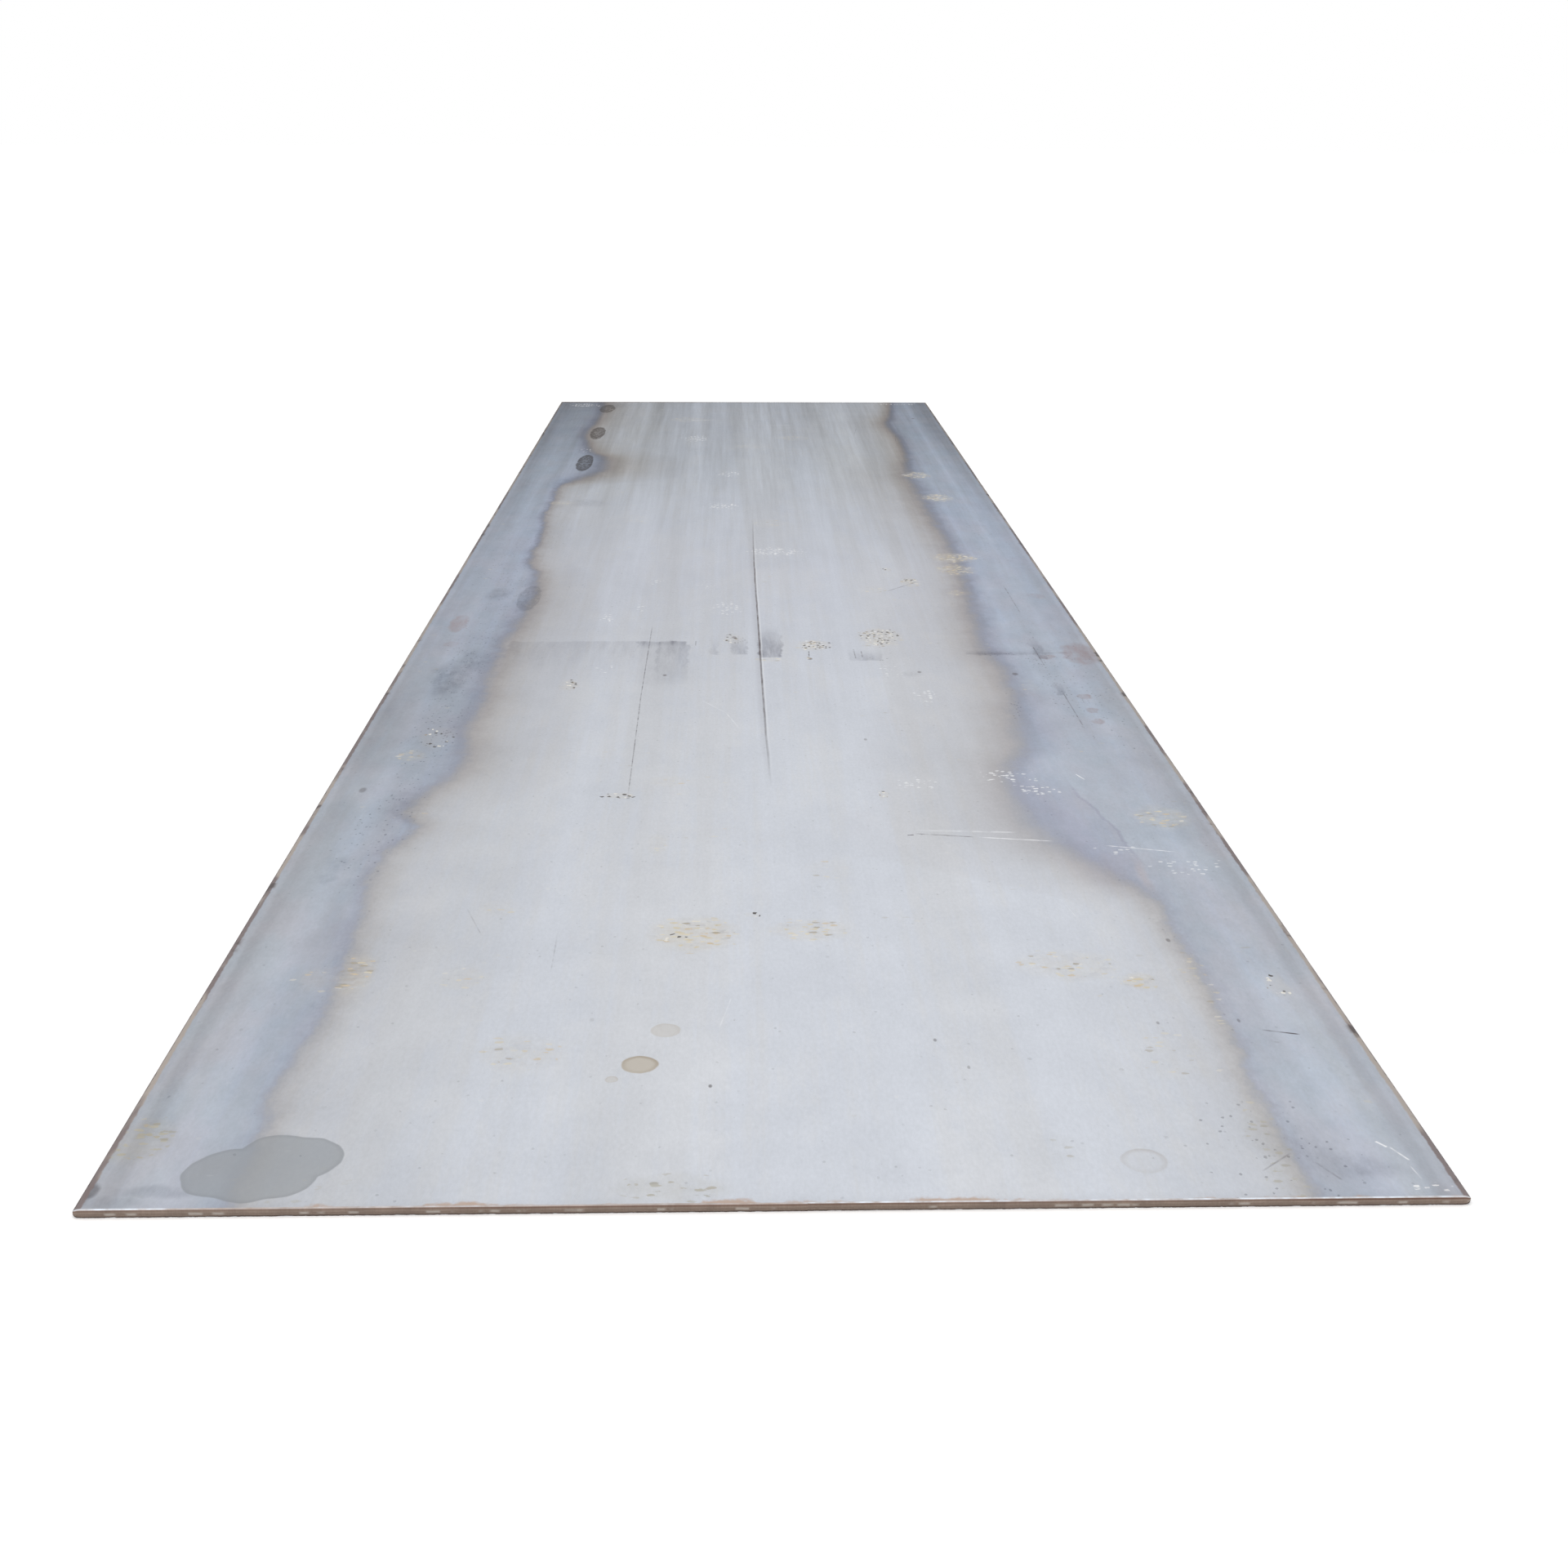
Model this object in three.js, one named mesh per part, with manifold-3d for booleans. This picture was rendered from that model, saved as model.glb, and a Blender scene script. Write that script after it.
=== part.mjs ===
// Hot-rolled steel plate in stock size: rolled long edges, ends cut on a guillotine shear.
//
// Millimetres, +Z up. The origin is the centre of the underside. The length runs along Y,
// with the front end at -Y, and the width along X.
//
// The plate is made as the real one is: a rolled strip is cut to length. The strip is one
// section carried along Y. The cut is one upright profile carried across X, once for each of
// the two strokes that the shear takes over the width. The plate is what the two share.

import * as THREE from 'three';
import { mergeVertices } from 'three/addons/utils/BufferGeometryUtils.js';
import Module from 'manifold-3d';

const wasm = await Module();
wasm.setup();

// ---------------------------------------------------------------- driving dimensions

const plateWidth = 1500;
const plateLength = 6000;
const plateThickness = 10;

// Rolled long edge. Its widest line is the crest. From the crest the edge rounds over to the
// top face and, more slowly, under to the bottom face.
const crestHeight = 5.6;
const topShoulderReach = 9.5;
const bottomShoulderReach = 12;
const shoulderFullness = 2.3;

// Sheared end, measured from the face that the blade drags down. The plate's end is rounded
// there, then comes the bright land, then the torn fracture, then a lip of burr.
const rolloverReach = 2.4;
const rolloverDepth = 1.3;
const landDepth = 3.1;
const fractureLean = 0.6;
const burrReach = 0.3;
const burrHeight = 0.7;

// The shear takes the width in two strokes, and the second lands a little further on.
const strokeJoint = 31;
const strokeMisfit = 0.4;

// The four corners are blunt from handling.
const cornerRadius = 4;

// How many straight facets stand for each curve.
const shoulderFacets = 14;
const rolloverFacets = 8;
const fractureFacets = 6;
const cornerFacets = 8;

// How far a blank or a cutter runs past what it cuts.
const spare = 20;

// ---------------------------------------------------------------- meshes and solids

function solidFrom(geometry) {
  const bare = geometry.clone();
  bare.deleteAttribute('normal');
  bare.deleteAttribute('uv');
  const merged = mergeVertices(bare, 1e-4);
  return new wasm.Manifold(new wasm.Mesh({
    numProp: 3,
    vertProperties: new Float32Array(merged.attributes.position.array),
    triVerts: new Uint32Array(merged.index.array),
  }));
}

function geometryFrom(solid) {
  const mesh = solid.getMesh();
  const geometry = new THREE.BufferGeometry();
  geometry.setAttribute('position', new THREE.BufferAttribute(mesh.vertProperties, 3));
  geometry.setIndex(new THREE.BufferAttribute(mesh.triVerts, 1));
  geometry.computeVertexNormals();
  return geometry;
}

// Carries an outline along an axis. uAxis and vAxis say where the outline's own x and y go.
function carry(outline, uAxis, vAxis, start, distance) {
  const geometry = new THREE.ExtrudeGeometry(new THREE.Shape(outline), {
    depth: distance,
    bevelEnabled: false,
  });
  const along = new THREE.Vector3().crossVectors(uAxis, vAxis);
  geometry.applyMatrix4(new THREE.Matrix4().makeBasis(uAxis, vAxis, along));
  geometry.translate(start.x, start.y, start.z);
  return solidFrom(geometry);
}

const alongX = new THREE.Vector3(1, 0, 0);
const alongY = new THREE.Vector3(0, 1, 0);
const alongZ = new THREE.Vector3(0, 0, 1);

// ---------------------------------------------------------------- rolled strip

// A quarter of a superellipse, from (reach, 0) at its crest to (0, rise) at its shoulder.
function shoulderCurve(reach, rise) {
  const points = [];
  for (let i = 0; i <= shoulderFacets; i += 1) {
    const turn = (i / shoulderFacets) * (Math.PI / 2);
    points.push(new THREE.Vector2(
      reach * Math.cos(turn) ** (2 / shoulderFullness),
      rise * Math.sin(turn) ** (2 / shoulderFullness),
    ));
  }
  return points;
}

// The section's right half, from the bottom face round the crest to the top face.
function rolledEdge() {
  const half = plateWidth / 2;
  const under = shoulderCurve(bottomShoulderReach, crestHeight)
    .map((p) => new THREE.Vector2(half - bottomShoulderReach + p.x, crestHeight - p.y))
    .reverse();
  const over = shoulderCurve(topShoulderReach, plateThickness - crestHeight)
    .map((p) => new THREE.Vector2(half - topShoulderReach + p.x, crestHeight + p.y));
  return [...under, ...over.slice(1)];
}

function rolledStrip() {
  const right = rolledEdge();
  const left = right.map((p) => new THREE.Vector2(-p.x, p.y)).reverse();
  const start = new THREE.Vector3(0, plateLength / 2 + spare, 0);
  return carry([...right, ...left], alongX, alongZ, start, plateLength + 2 * spare);
}

// ---------------------------------------------------------------- sheared ends

// A sheared end as (depth below the dragged face, distance in from the land), from the
// dragged face down to the burr.
function shearedEnd() {
  const points = [];
  for (let i = 0; i <= rolloverFacets; i += 1) {
    const turn = (i / rolloverFacets) * (Math.PI / 2);
    points.push([rolloverDepth * (1 - Math.cos(turn)), rolloverReach * (1 - Math.sin(turn))]);
  }
  const fractureStart = rolloverDepth + landDepth;
  const fractureEnd = plateThickness - burrHeight;
  for (let i = 0; i <= fractureFacets; i += 1) {
    const run = i / fractureFacets;
    const lean = fractureLean * Math.sin(run * (Math.PI / 2));
    points.push([fractureStart + run * (fractureEnd - fractureStart), lean]);
  }
  points.push([plateThickness, fractureLean - burrReach]);
  return points;
}

// One stroke's share of the width: the plate's side view, carried across X. The blade drags
// down the top face at the front end. The back end lay under the moving blade when it was
// cut, so there the same profile stands upside down.
function stroke(fromX, toX, shift) {
  const front = shearedEnd().map(([depth, inward]) => new THREE.Vector2(
    -plateLength / 2 + shift + inward,
    plateThickness - depth,
  ));
  const back = shearedEnd().map(([depth, inward]) => new THREE.Vector2(
    plateLength / 2 - strokeMisfit + shift - inward,
    depth,
  ));
  const start = new THREE.Vector3(fromX, 0, 0);
  return carry([...front, ...back], alongY, alongZ, start, toX - fromX);
}

function shearedBlank() {
  const side = plateWidth / 2 + spare;
  const first = stroke(-side, strokeJoint, 0);
  const second = stroke(strokeJoint, side, strokeMisfit);
  return first.add(second);
}

// ---------------------------------------------------------------- blunt corners

// What is cut away outside one corner's radius. sideX and endY are -1 or +1.
function cornerCutter(sideX, endY, landY) {
  const centre = new THREE.Vector2(
    sideX * (plateWidth / 2 - cornerRadius),
    landY - endY * cornerRadius,
  );
  const outline = [];
  for (let i = 0; i <= cornerFacets; i += 1) {
    const turn = (i / cornerFacets) * (Math.PI / 2);
    outline.push(new THREE.Vector2(
      centre.x + sideX * cornerRadius * Math.cos(turn),
      centre.y + endY * cornerRadius * Math.sin(turn),
    ));
  }
  const outX = sideX * (plateWidth / 2 + spare);
  const outY = landY + endY * spare;
  outline.push(new THREE.Vector2(centre.x, outY));
  outline.push(new THREE.Vector2(outX, outY));
  outline.push(new THREE.Vector2(outX, centre.y));
  const start = new THREE.Vector3(0, 0, -spare);
  return carry(outline, alongX, alongY, start, plateThickness + 2 * spare);
}

function bluntCorners(plate) {
  let blunt = plate;
  for (const sideX of [-1, 1]) {
    for (const endY of [-1, 1]) {
      // The land that this corner's stroke left: the second stroke lies further along Y.
      const standsBack = sideX * endY < 0 ? strokeMisfit : 0;
      const landY = endY * (plateLength / 2 - standsBack);
      blunt = blunt.subtract(cornerCutter(sideX, endY, landY));
    }
  }
  return blunt;
}

// ---------------------------------------------------------------- the part

const plate = bluntCorners(rolledStrip().intersect(shearedBlank()));

const millScaleSteel = new THREE.MeshStandardMaterial({
  color: 0xb6bbc4,
  roughness: 0.45,
  metalness: 0.75,
});

const steelPlate = new THREE.Mesh(geometryFrom(plate), millScaleSteel);
steelPlate.name = 'steel_plate';

const part = new THREE.Group();
part.add(steelPlate);

export default part;
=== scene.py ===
"""Looks of one hot-rolled steel plate: its worn scale, heat tints, rust and stains.

Metres, +Z up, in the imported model's own frame: X across the plate, Y along it, the front
end at -Y, and the underside at z = 0.
"""

import functools
import math

import bmesh
import bpy
import numpy as np
from mathutils import Matrix, Vector


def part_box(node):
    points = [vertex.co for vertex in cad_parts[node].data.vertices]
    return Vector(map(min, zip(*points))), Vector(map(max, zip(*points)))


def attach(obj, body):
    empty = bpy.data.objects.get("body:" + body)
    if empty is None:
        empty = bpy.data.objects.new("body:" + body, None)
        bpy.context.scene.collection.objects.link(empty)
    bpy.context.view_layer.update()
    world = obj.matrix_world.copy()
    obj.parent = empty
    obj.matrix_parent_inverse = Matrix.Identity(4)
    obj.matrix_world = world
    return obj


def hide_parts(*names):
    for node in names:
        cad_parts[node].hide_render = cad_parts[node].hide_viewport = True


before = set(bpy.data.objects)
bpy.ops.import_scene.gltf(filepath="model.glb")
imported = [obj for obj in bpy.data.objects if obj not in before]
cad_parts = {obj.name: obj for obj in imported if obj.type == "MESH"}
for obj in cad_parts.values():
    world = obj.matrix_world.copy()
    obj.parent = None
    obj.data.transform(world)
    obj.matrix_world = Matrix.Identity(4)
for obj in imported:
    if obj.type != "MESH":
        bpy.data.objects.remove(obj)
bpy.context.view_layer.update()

# ---------------------------------------------------------------- sizes

MM = 0.001

_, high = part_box("steel_plate")
HALF_WIDTH = high[0]
HALF_LENGTH = high[1]
THICKNESS = high[2]

# The rolled long edge.
CREST_HEIGHT = 5.6 * MM
TOP_SHOULDER = 9.5 * MM
BOTTOM_SHOULDER = 12 * MM
SHOULDER_FULLNESS = 2.3
CREST_WANDER = 0.5 * MM
CREST_LIFT = 0.3 * MM

# The sheared end, as depths below the face that the blade dragged down.
ROLLOVER_REACH = 2.4 * MM
ROLLOVER_DEPTH = 1.3 * MM
LAND_DEPTH = 3.1 * MM
LAND_JAG = 0.45 * MM
FRACTURE_LEAN = 0.6 * MM
FRACTURE_ROUGHNESS = 0.16 * MM
LEAST_LEAN = 0.02 * MM
BURR_REACH = 0.3 * MM
BURR_HEIGHT = 0.7 * MM
BURR_NOTCH = 0.4 * MM

# The second stroke of the shear starts at the joint and lands a little further along Y.
STROKE_JOINT = 31 * MM
STROKE_MISFIT = 0.4 * MM
CORNER_RADIUS = 4 * MM
# How far on either side of the joint the nearest columns stand.
JOINT_GAP = 0.1 * MM

# How finely the plate is divided.
SHOULDER_STEPS = 14
WIDTH_STEPS = 60
FINE_SHARE = 16
HALF_LENGTH_STEPS = 75
FINE_MARGIN = 8 * MM
COARSE_MARGIN = 30 * MM
ROLLOVER_ROWS = 7
LAND_ROWS = 4
FRACTURE_ROWS = 8
BURR_ROWS = 2
MERGE_DISTANCE = 0.002 * MM
SHORTEST_EDGE = 0.001 * MM
SHARP_ANGLE = math.radians(50)

# ---------------------------------------------------------------- noise for shapes


def eased(run):
    """A straight 0 to 1 run turned into one that starts and ends flat: 3 t squared - 2 t cubed."""
    return run * run * (3 - 2 * run)


def wander(places, spacing, seed):
    """Random heights from -1 to 1, one every `spacing` along the plate, joined by eased steps."""
    steps = (places + HALF_LENGTH) / spacing
    knots = np.random.default_rng(seed).uniform(-1, 1, int(2 * HALF_LENGTH / spacing) + 3)
    index = np.floor(steps).astype(int)
    run = eased(steps - index)
    return knots[index] * (1 - run) + knots[index + 1] * run


def grain(across, down, spacing, seed):
    """Random heights from -1 to 1 on a square lattice, joined by eased steps both ways."""
    u = (across - across.min()) / spacing
    v = (down - down.min()) / spacing
    knots = np.random.default_rng(seed).uniform(-1, 1, (int(u.max()) + 2, int(v.max()) + 2))
    i, j = np.floor(u).astype(int), np.floor(v).astype(int)
    s, t = eased(u - i), eased(v - j)
    near = knots[i, j] * (1 - s) + knots[i + 1, j] * s
    far = knots[i, j + 1] * (1 - s) + knots[i + 1, j + 1] * s
    return near * (1 - t) + far * t


# ---------------------------------------------------------------- the plate's shape

# Each face: which way it lies from the crests, its rise from them, its shoulders' reach.
FACES = {
    "top": (1, THICKNESS - CREST_HEIGHT, TOP_SHOULDER),
    "under": (-1, CREST_HEIGHT, BOTTOM_SHOULDER),
}


def section(face, share):
    """One face's points (x, z) across the plate, from the left crest to the right one.

    A shoulder is a quarter superellipse from its crest in to the flat: reach cos^(2/n) out
    and rise sin^(2/n) up. Between the shoulders each coarse step is split into `share` ones.
    """
    way, rise, reach = FACES[face]
    turn = np.linspace(0, math.pi / 2, SHOULDER_STEPS + 1)
    right = HALF_WIDTH - reach + (reach * np.cos(turn).clip(0) ** (2 / SHOULDER_FULLNESS))[::-1]
    up = rise * np.sin(turn).clip(0) ** (2 / SHOULDER_FULLNESS)
    between = np.linspace(-right[0], right[0], WIDTH_STEPS * share + 1)[1:-1]
    if share > 1:
        beside_joint = np.searchsorted(between, STROKE_JOINT)
        between[beside_joint - 1] = STROKE_JOINT - JOINT_GAP
        between[beside_joint] = STROKE_JOINT + JOINT_GAP
    x = np.concatenate([-right[::-1], between, right])
    height = np.concatenate([up, np.full(len(between), up[-1]), up[::-1]])
    return np.stack([x, CREST_HEIGHT + way * height], axis=1)


def end_depths(x):
    """Depths where the rollover, the land, the fracture and the burr end, for each column."""
    rollover = ROLLOVER_DEPTH * (1 + 0.18 * wander(x, 90 * MM, 11) + 0.06 * wander(x, 14 * MM, 12))
    jag = 0.6 * wander(x, 23 * MM, 13) + 0.4 * wander(x, 5 * MM, 14)
    land = ROLLOVER_DEPTH + LAND_DEPTH + LAND_JAG * jag
    fracture = THICKNESS - BURR_HEIGHT * (1 + 0.25 * wander(x, 9 * MM, 15))
    notch = BURR_NOTCH * (0.5 + 0.5 * wander(x, 4 * MM, 16)) * (0.6 + 0.4 * wander(x, 60 * MM, 17))
    return rollover, land, fracture, THICKNESS - notch


def end_profile(x):
    """(depth, distance in, zone) of a sheared end for each row and column.

    The rollover is a quarter ellipse. The land is upright. The fracture leans in as a sine
    and is rough. The burr leans out again, by a reach that changes from tooth to tooth.
    The zone runs from 0 to 1 down the rollover, to 2 down the land, to 3 down the fracture
    and to 4 down the burr.
    """
    rollover, land, fracture, lip = end_depths(x)
    turn = np.linspace(0, math.pi / 2, ROLLOVER_ROWS + 1)[:, None]
    reach = ROLLOVER_REACH * (1 + 0.2 * wander(x, 120 * MM, 18))
    depths = [rollover * (1 - np.cos(turn))]
    inward = [reach * (1 - np.sin(turn))]
    zones = [np.linspace(0, 1, ROLLOVER_ROWS + 1)]

    def next_zone(rows, start, stop):
        run = np.linspace(0, 1, rows + 1)[1:, None]
        depths.append(start + run * (stop - start))
        zones.append(len(zones) + run[:, 0])
        return run

    next_zone(LAND_ROWS, rollover, land)
    inward.append(np.zeros_like(depths[-1]))

    run = next_zone(FRACTURE_ROWS, land, fracture)
    depth = depths[-1]
    columns = np.broadcast_to(x, depth.shape)
    rough = grain(columns, depth, 2.2 * MM, 19) + 0.6 * grain(columns, depth, 6 * MM, 20)
    lean = FRACTURE_LEAN * np.sin(run * math.pi / 2) + FRACTURE_ROUGHNESS * rough
    inward.append(lean.clip(LEAST_LEAN))

    run = next_zone(BURR_ROWS, fracture, lip)
    tooth = 0.55 + 0.45 * wander(x, 3 * MM, 21)
    inward.append((inward[-1][-1] - run * BURR_REACH * 1.6 * tooth).clip(0))
    return np.concatenate(depths), np.concatenate(inward), np.concatenate(zones)


def corner_inset(x):
    """How far a corner's radius draws the end in at x: r - sqrt(r squared - past squared)."""
    past = (np.abs(x) - (HALF_WIDTH - CORNER_RADIUS)).clip(0, CORNER_RADIUS)
    return CORNER_RADIUS - np.sqrt(CORNER_RADIUS**2 - past**2)


def end_face(columns, end):
    """Rows of points down a sheared end, from the dragged face to the burr, and their zones.

    The dragged face is the top at the front end and the underside at the back end. The
    profile fades out at the crests, where the two faces meet.
    """
    dragged, other = ("top", "under") if end < 0 else ("under", "top")
    near, far = columns[dragged], columns[other]
    depth, inward, zones = end_profile(near[:, 0])
    share = (depth / THICKNESS)[..., None]
    x, z = np.moveaxis(near * (1 - share) + far * share, 2, 0)
    fullness = np.abs(near[:, 1] - far[:, 1]) / THICKNESS
    stands_back = np.where((x - STROKE_JOINT) * end < 0, STROKE_MISFIT, 0)
    y = end * (HALF_LENGTH - stands_back - inward * fullness - corner_inset(x))
    return np.stack([x, y, z], axis=2), zones


def edge_wander(points):
    """Moves the rolled edges a little along their length: in, never out, and up or down.

    The lift is 4 z (T - z) / T squared of its full height, so it leaves both faces flat.
    """
    x, y, z = np.moveaxis(points, 2, 0)
    on_edge = ((np.abs(x) - (HALF_WIDTH - BOTTOM_SHOULDER)) / BOTTOM_SHOULDER).clip(0, 1)
    between_faces = (4 * z * (THICKNESS - z) / THICKNESS**2).clip(0)
    for sign, seed in ((-1, 31), (1, 35)):
        depth = 0.5 + 0.3 * wander(y, 350 * MM, seed) + 0.2 * wander(y, 80 * MM, seed + 1)
        side = (np.sign(x) == sign) * eased(on_edge)
        x = x - sign * side * depth * CREST_WANDER
        z = z + side * between_faces * wander(y, 220 * MM, seed + 2) * CREST_LIFT
    return np.stack([x, y, z], axis=2)


def rows_at(distances, columns, end):
    """A face's columns, repeated at distances from the middle of the plate towards one end."""
    y = np.broadcast_to(end * distances[:, None], (len(distances), len(columns)))
    x = np.broadcast_to(columns[:, 0], y.shape)
    z = np.broadcast_to(columns[:, 1], y.shape)
    return np.stack([x, y, z], axis=2)


def grid_faces(numbers):
    """Four-sided faces between rows of numbered points."""
    corners = (numbers[:-1, :-1], numbers[:-1, 1:], numbers[1:, 1:], numbers[1:, :-1])
    return np.stack(corners, axis=2).reshape(-1, 4)


def fan_faces(coarse, fine, share):
    """Triangles between a coarse row and a fine row that takes `share` steps to its one."""
    half = share // 2
    start, stop = coarse[:-1], coarse[1:]
    first = np.arange(len(start)) * share
    faces = [np.stack([start, fine[first + half], stop], axis=1)]
    for step in range(share):
        apex = start if step < half else stop
        faces.append(np.stack([apex, fine[first + step], fine[first + step + 1]], axis=1))
    return np.concatenate(faces)


class Skin:
    """Collects points, each with a place on the map and a shear zone, and faces with a slot."""

    def __init__(self):
        self.points, self.places, self.zones, self.faces, self.slots = [], [], [], [], []
        self.count = 0

    def add_points(self, points, across, along, map_frame, zones):
        """Adds rows of points and returns their numbers.

        across and along, from 0 to 1, are where they lie in a frame of the map.
        """
        shape = points.shape[:2]
        left, bottom, width, height = map_frame
        across, along = np.broadcast_to(across, shape), np.broadcast_to(along, shape)
        place = np.stack([left + across * width, bottom + along * height], axis=2)
        self.points.append(edge_wander(points).reshape(-1, 3))
        self.places.append(place.reshape(-1, 2))
        self.zones.append(np.broadcast_to(zones, shape).ravel())
        self.count += across.size
        return np.arange(self.count - across.size, self.count).reshape(shape)

    def add_faces(self, faces, slot):
        self.faces.extend(faces.tolist())
        self.slots.extend([slot] * len(faces))


def run_along(points):
    """Distance along a row of points, from 0 at its first to 1 at its last."""
    steps = np.linalg.norm(np.diff(points, axis=0), axis=1)
    run = np.concatenate([[0], np.cumsum(steps)])
    return run / run[-1]


SLOT_TOP, SLOT_UNDER, SLOT_END = range(3)

# Where each part of the plate lies on the bake map: left, bottom, width, height.
MAP_FRAMES = {
    "top front": (0.006, 0.006, 0.428, 0.856),
    "top back": (0.440, 0.006, 0.428, 0.856),
    "under front": (0.876, 0.006, 0.118, 0.425),
    "under back": (0.876, 0.437, 0.118, 0.425),
    "front end": (0.006, 0.880, 0.986, 0.04),
    "back end": (0.006, 0.935, 0.986, 0.04),
}
# Where the shoulders end, as columns of the coarse rows and of the fine ones.
RIGHT_SHOULDER = SHOULDER_STEPS + WIDTH_STEPS
FINE_RIGHT_SHOULDER = SHOULDER_STEPS + WIDTH_STEPS * FINE_SHARE


def add_half_sheet(skin, columns, end_row, end, slot, map_frame):
    """Adds one half of one face: coarse rows from the middle out, then two fine ones.

    columns are the face's coarse and fine sections.
    """
    coarse_y = np.linspace(0, HALF_LENGTH - COARSE_MARGIN, HALF_LENGTH_STEPS + 1)
    coarse_rows = rows_at(coarse_y, columns[0], end)
    inner_row = rows_at(np.array([HALF_LENGTH - FINE_MARGIN]), columns[1], end)
    borders = []
    for rows, section_points in zip((coarse_rows, np.concatenate([inner_row, [end_row]])), columns):
        along = np.abs(rows[..., 1]) / HALF_LENGTH
        numbers = skin.add_points(rows, run_along(section_points), along, map_frame, 0.0)
        skin.add_faces(grid_faces(numbers), slot)
        borders.append(numbers)
    coarse, fine = borders[0][-1], borders[1][0]
    spans = (
        (0, SHOULDER_STEPS, 0, SHOULDER_STEPS, 1),
        (SHOULDER_STEPS, RIGHT_SHOULDER, SHOULDER_STEPS, FINE_RIGHT_SHOULDER, FINE_SHARE),
        (RIGHT_SHOULDER, len(coarse) - 1, FINE_RIGHT_SHOULDER, len(fine) - 1, 1),
    )
    for start, stop, fine_start, fine_stop, share in spans:
        faces = fan_faces(coarse[start : stop + 1], fine[fine_start : fine_stop + 1], share)
        skin.add_faces(faces, slot)


def add_end(skin, points, zones, map_frame):
    """Adds a sheared end."""
    across = (points[..., 0] / HALF_WIDTH + 1) / 2
    usual_column = points[:, points.shape[1] // 3]
    down = run_along(usual_column)[:, None]
    numbers = skin.add_points(points, across, down, map_frame, zones[:, None])
    skin.add_faces(grid_faces(numbers), SLOT_END)


def build_plate(materials):
    """The whole plate as one closed skin."""
    columns = {face: (section(face, 1), section(face, FINE_SHARE)) for face in FACES}
    fine = {face: sections[1] for face, sections in columns.items()}
    front, front_zones = end_face(fine, -1)
    back, back_zones = end_face(fine, 1)
    skin = Skin()
    for name, face, end_row, end, slot in (
        ("top front", "top", front[0], -1, SLOT_TOP),
        ("top back", "top", back[-1], 1, SLOT_TOP),
        ("under front", "under", front[-1], -1, SLOT_UNDER),
        ("under back", "under", back[0], 1, SLOT_UNDER),
    ):
        add_half_sheet(skin, columns[face], end_row, end, slot, MAP_FRAMES[name])
    add_end(skin, front, front_zones, MAP_FRAMES["front end"])
    add_end(skin, back, back_zones, MAP_FRAMES["back end"])
    return skin_object("rolled_plate", skin, materials)


def skin_object(name, skin, materials):
    """Makes the mesh object, merges the borders that its parts share and turns faces outwards."""
    mesh = bpy.data.meshes.new(name)
    mesh.from_pydata(np.concatenate(skin.points).tolist(), [], skin.faces)
    mesh.polygons.foreach_set("material_index", skin.slots)
    corner_points = np.empty(len(mesh.loops), dtype=np.int32)
    mesh.loops.foreach_get("vertex_index", corner_points)
    places = np.concatenate(skin.places)[corner_points]
    mesh.uv_layers.new(name="OFBake").data.foreach_set("uv", places.ravel())
    zones = mesh.attributes.new(name="shear_zone", type="FLOAT", domain="CORNER")
    zones.data.foreach_set("value", np.concatenate(skin.zones)[corner_points])
    for material in materials:
        mesh.materials.append(material)

    body = bmesh.new()
    body.from_mesh(mesh)
    bmesh.ops.remove_doubles(body, verts=body.verts, dist=MERGE_DISTANCE)
    bmesh.ops.dissolve_degenerate(body, edges=body.edges, dist=SHORTEST_EDGE)
    bmesh.ops.recalc_face_normals(body, faces=body.faces)
    body.to_mesh(mesh)
    body.free()
    mesh.shade_smooth()
    mesh.set_sharp_from_angle(angle=SHARP_ANGLE)
    return placed(name, mesh)


def placed(name, data, matrix=None):
    """A new object in the scene."""
    thing = bpy.data.objects.new(name, data)
    if matrix:
        thing.matrix_world = matrix
    bpy.context.scene.collection.objects.link(thing)
    return thing


# ---------------------------------------------------------------- colours


def srgb(red, green, blue):
    """A colour given as 0 to 255 values on a screen, as linear light."""
    shares = np.array([red, green, blue]) / 255
    return tuple(np.where(shares <= 0.04045, shares / 12.92, ((shares + 0.055) / 1.055) ** 2.4))


EDGE_TAN = srgb(178, 167, 158)
EDGE_MAUVE = srgb(130, 116, 114)
EDGE_BROWN = srgb(92, 80, 75)
EDGE_NICK = srgb(90, 78, 74)
TONGUE_RIDGE = srgb(198, 184, 180)
WET_SHADE = srgb(138, 143, 149)
WET_GLEAM = srgb(152, 155, 157)
DROP_FILM = srgb(188, 179, 164)
DROP_RIM = srgb(142, 124, 100)
FADED_BROWN = srgb(150, 132, 134)
OLIVE_GREY = srgb(166, 164, 154)
PRINT_FILM = srgb(202, 194, 178)
CHALKY = srgb(230, 231, 233)
DOT_DIRT = srgb(92, 86, 86)
GROOVE_HIGHLIGHT = srgb(222, 224, 228)
GROOVE_DARK = srgb(92, 84, 84)
SCRATCH_DIRT = srgb(96, 92, 96)
FRESH_SCRATCH = srgb(232, 233, 236)
FRONT_RUST_TAN = srgb(190, 158, 132)
# Painted shade along the back edge.
BACK_EDGE_SHADE = srgb(92, 80, 74)
UNDER_DASH_PALE = srgb(196, 178, 150)
UNDER_DASH_DARK = srgb(160, 144, 128)
UNDER_RUST = srgb(168, 142, 122)
LAND_RUST_BROWN = srgb(118, 84, 70)
FRACTURE_DARK = srgb(122, 100, 88)
FRACTURE_PALE = srgb(178, 162, 150)
FRACTURE_GLINT = srgb(222, 216, 208)
FOOT_SHADOW = srgb(66, 58, 56)
ROLLOVER_HIGHLIGHT = srgb(226, 233, 242)
BURR_GLINT = srgb(226, 228, 232)
UNDERSIDE_STEEL = srgb(184, 187, 194)
SHEARED_STEEL = srgb(164, 146, 134)

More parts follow.
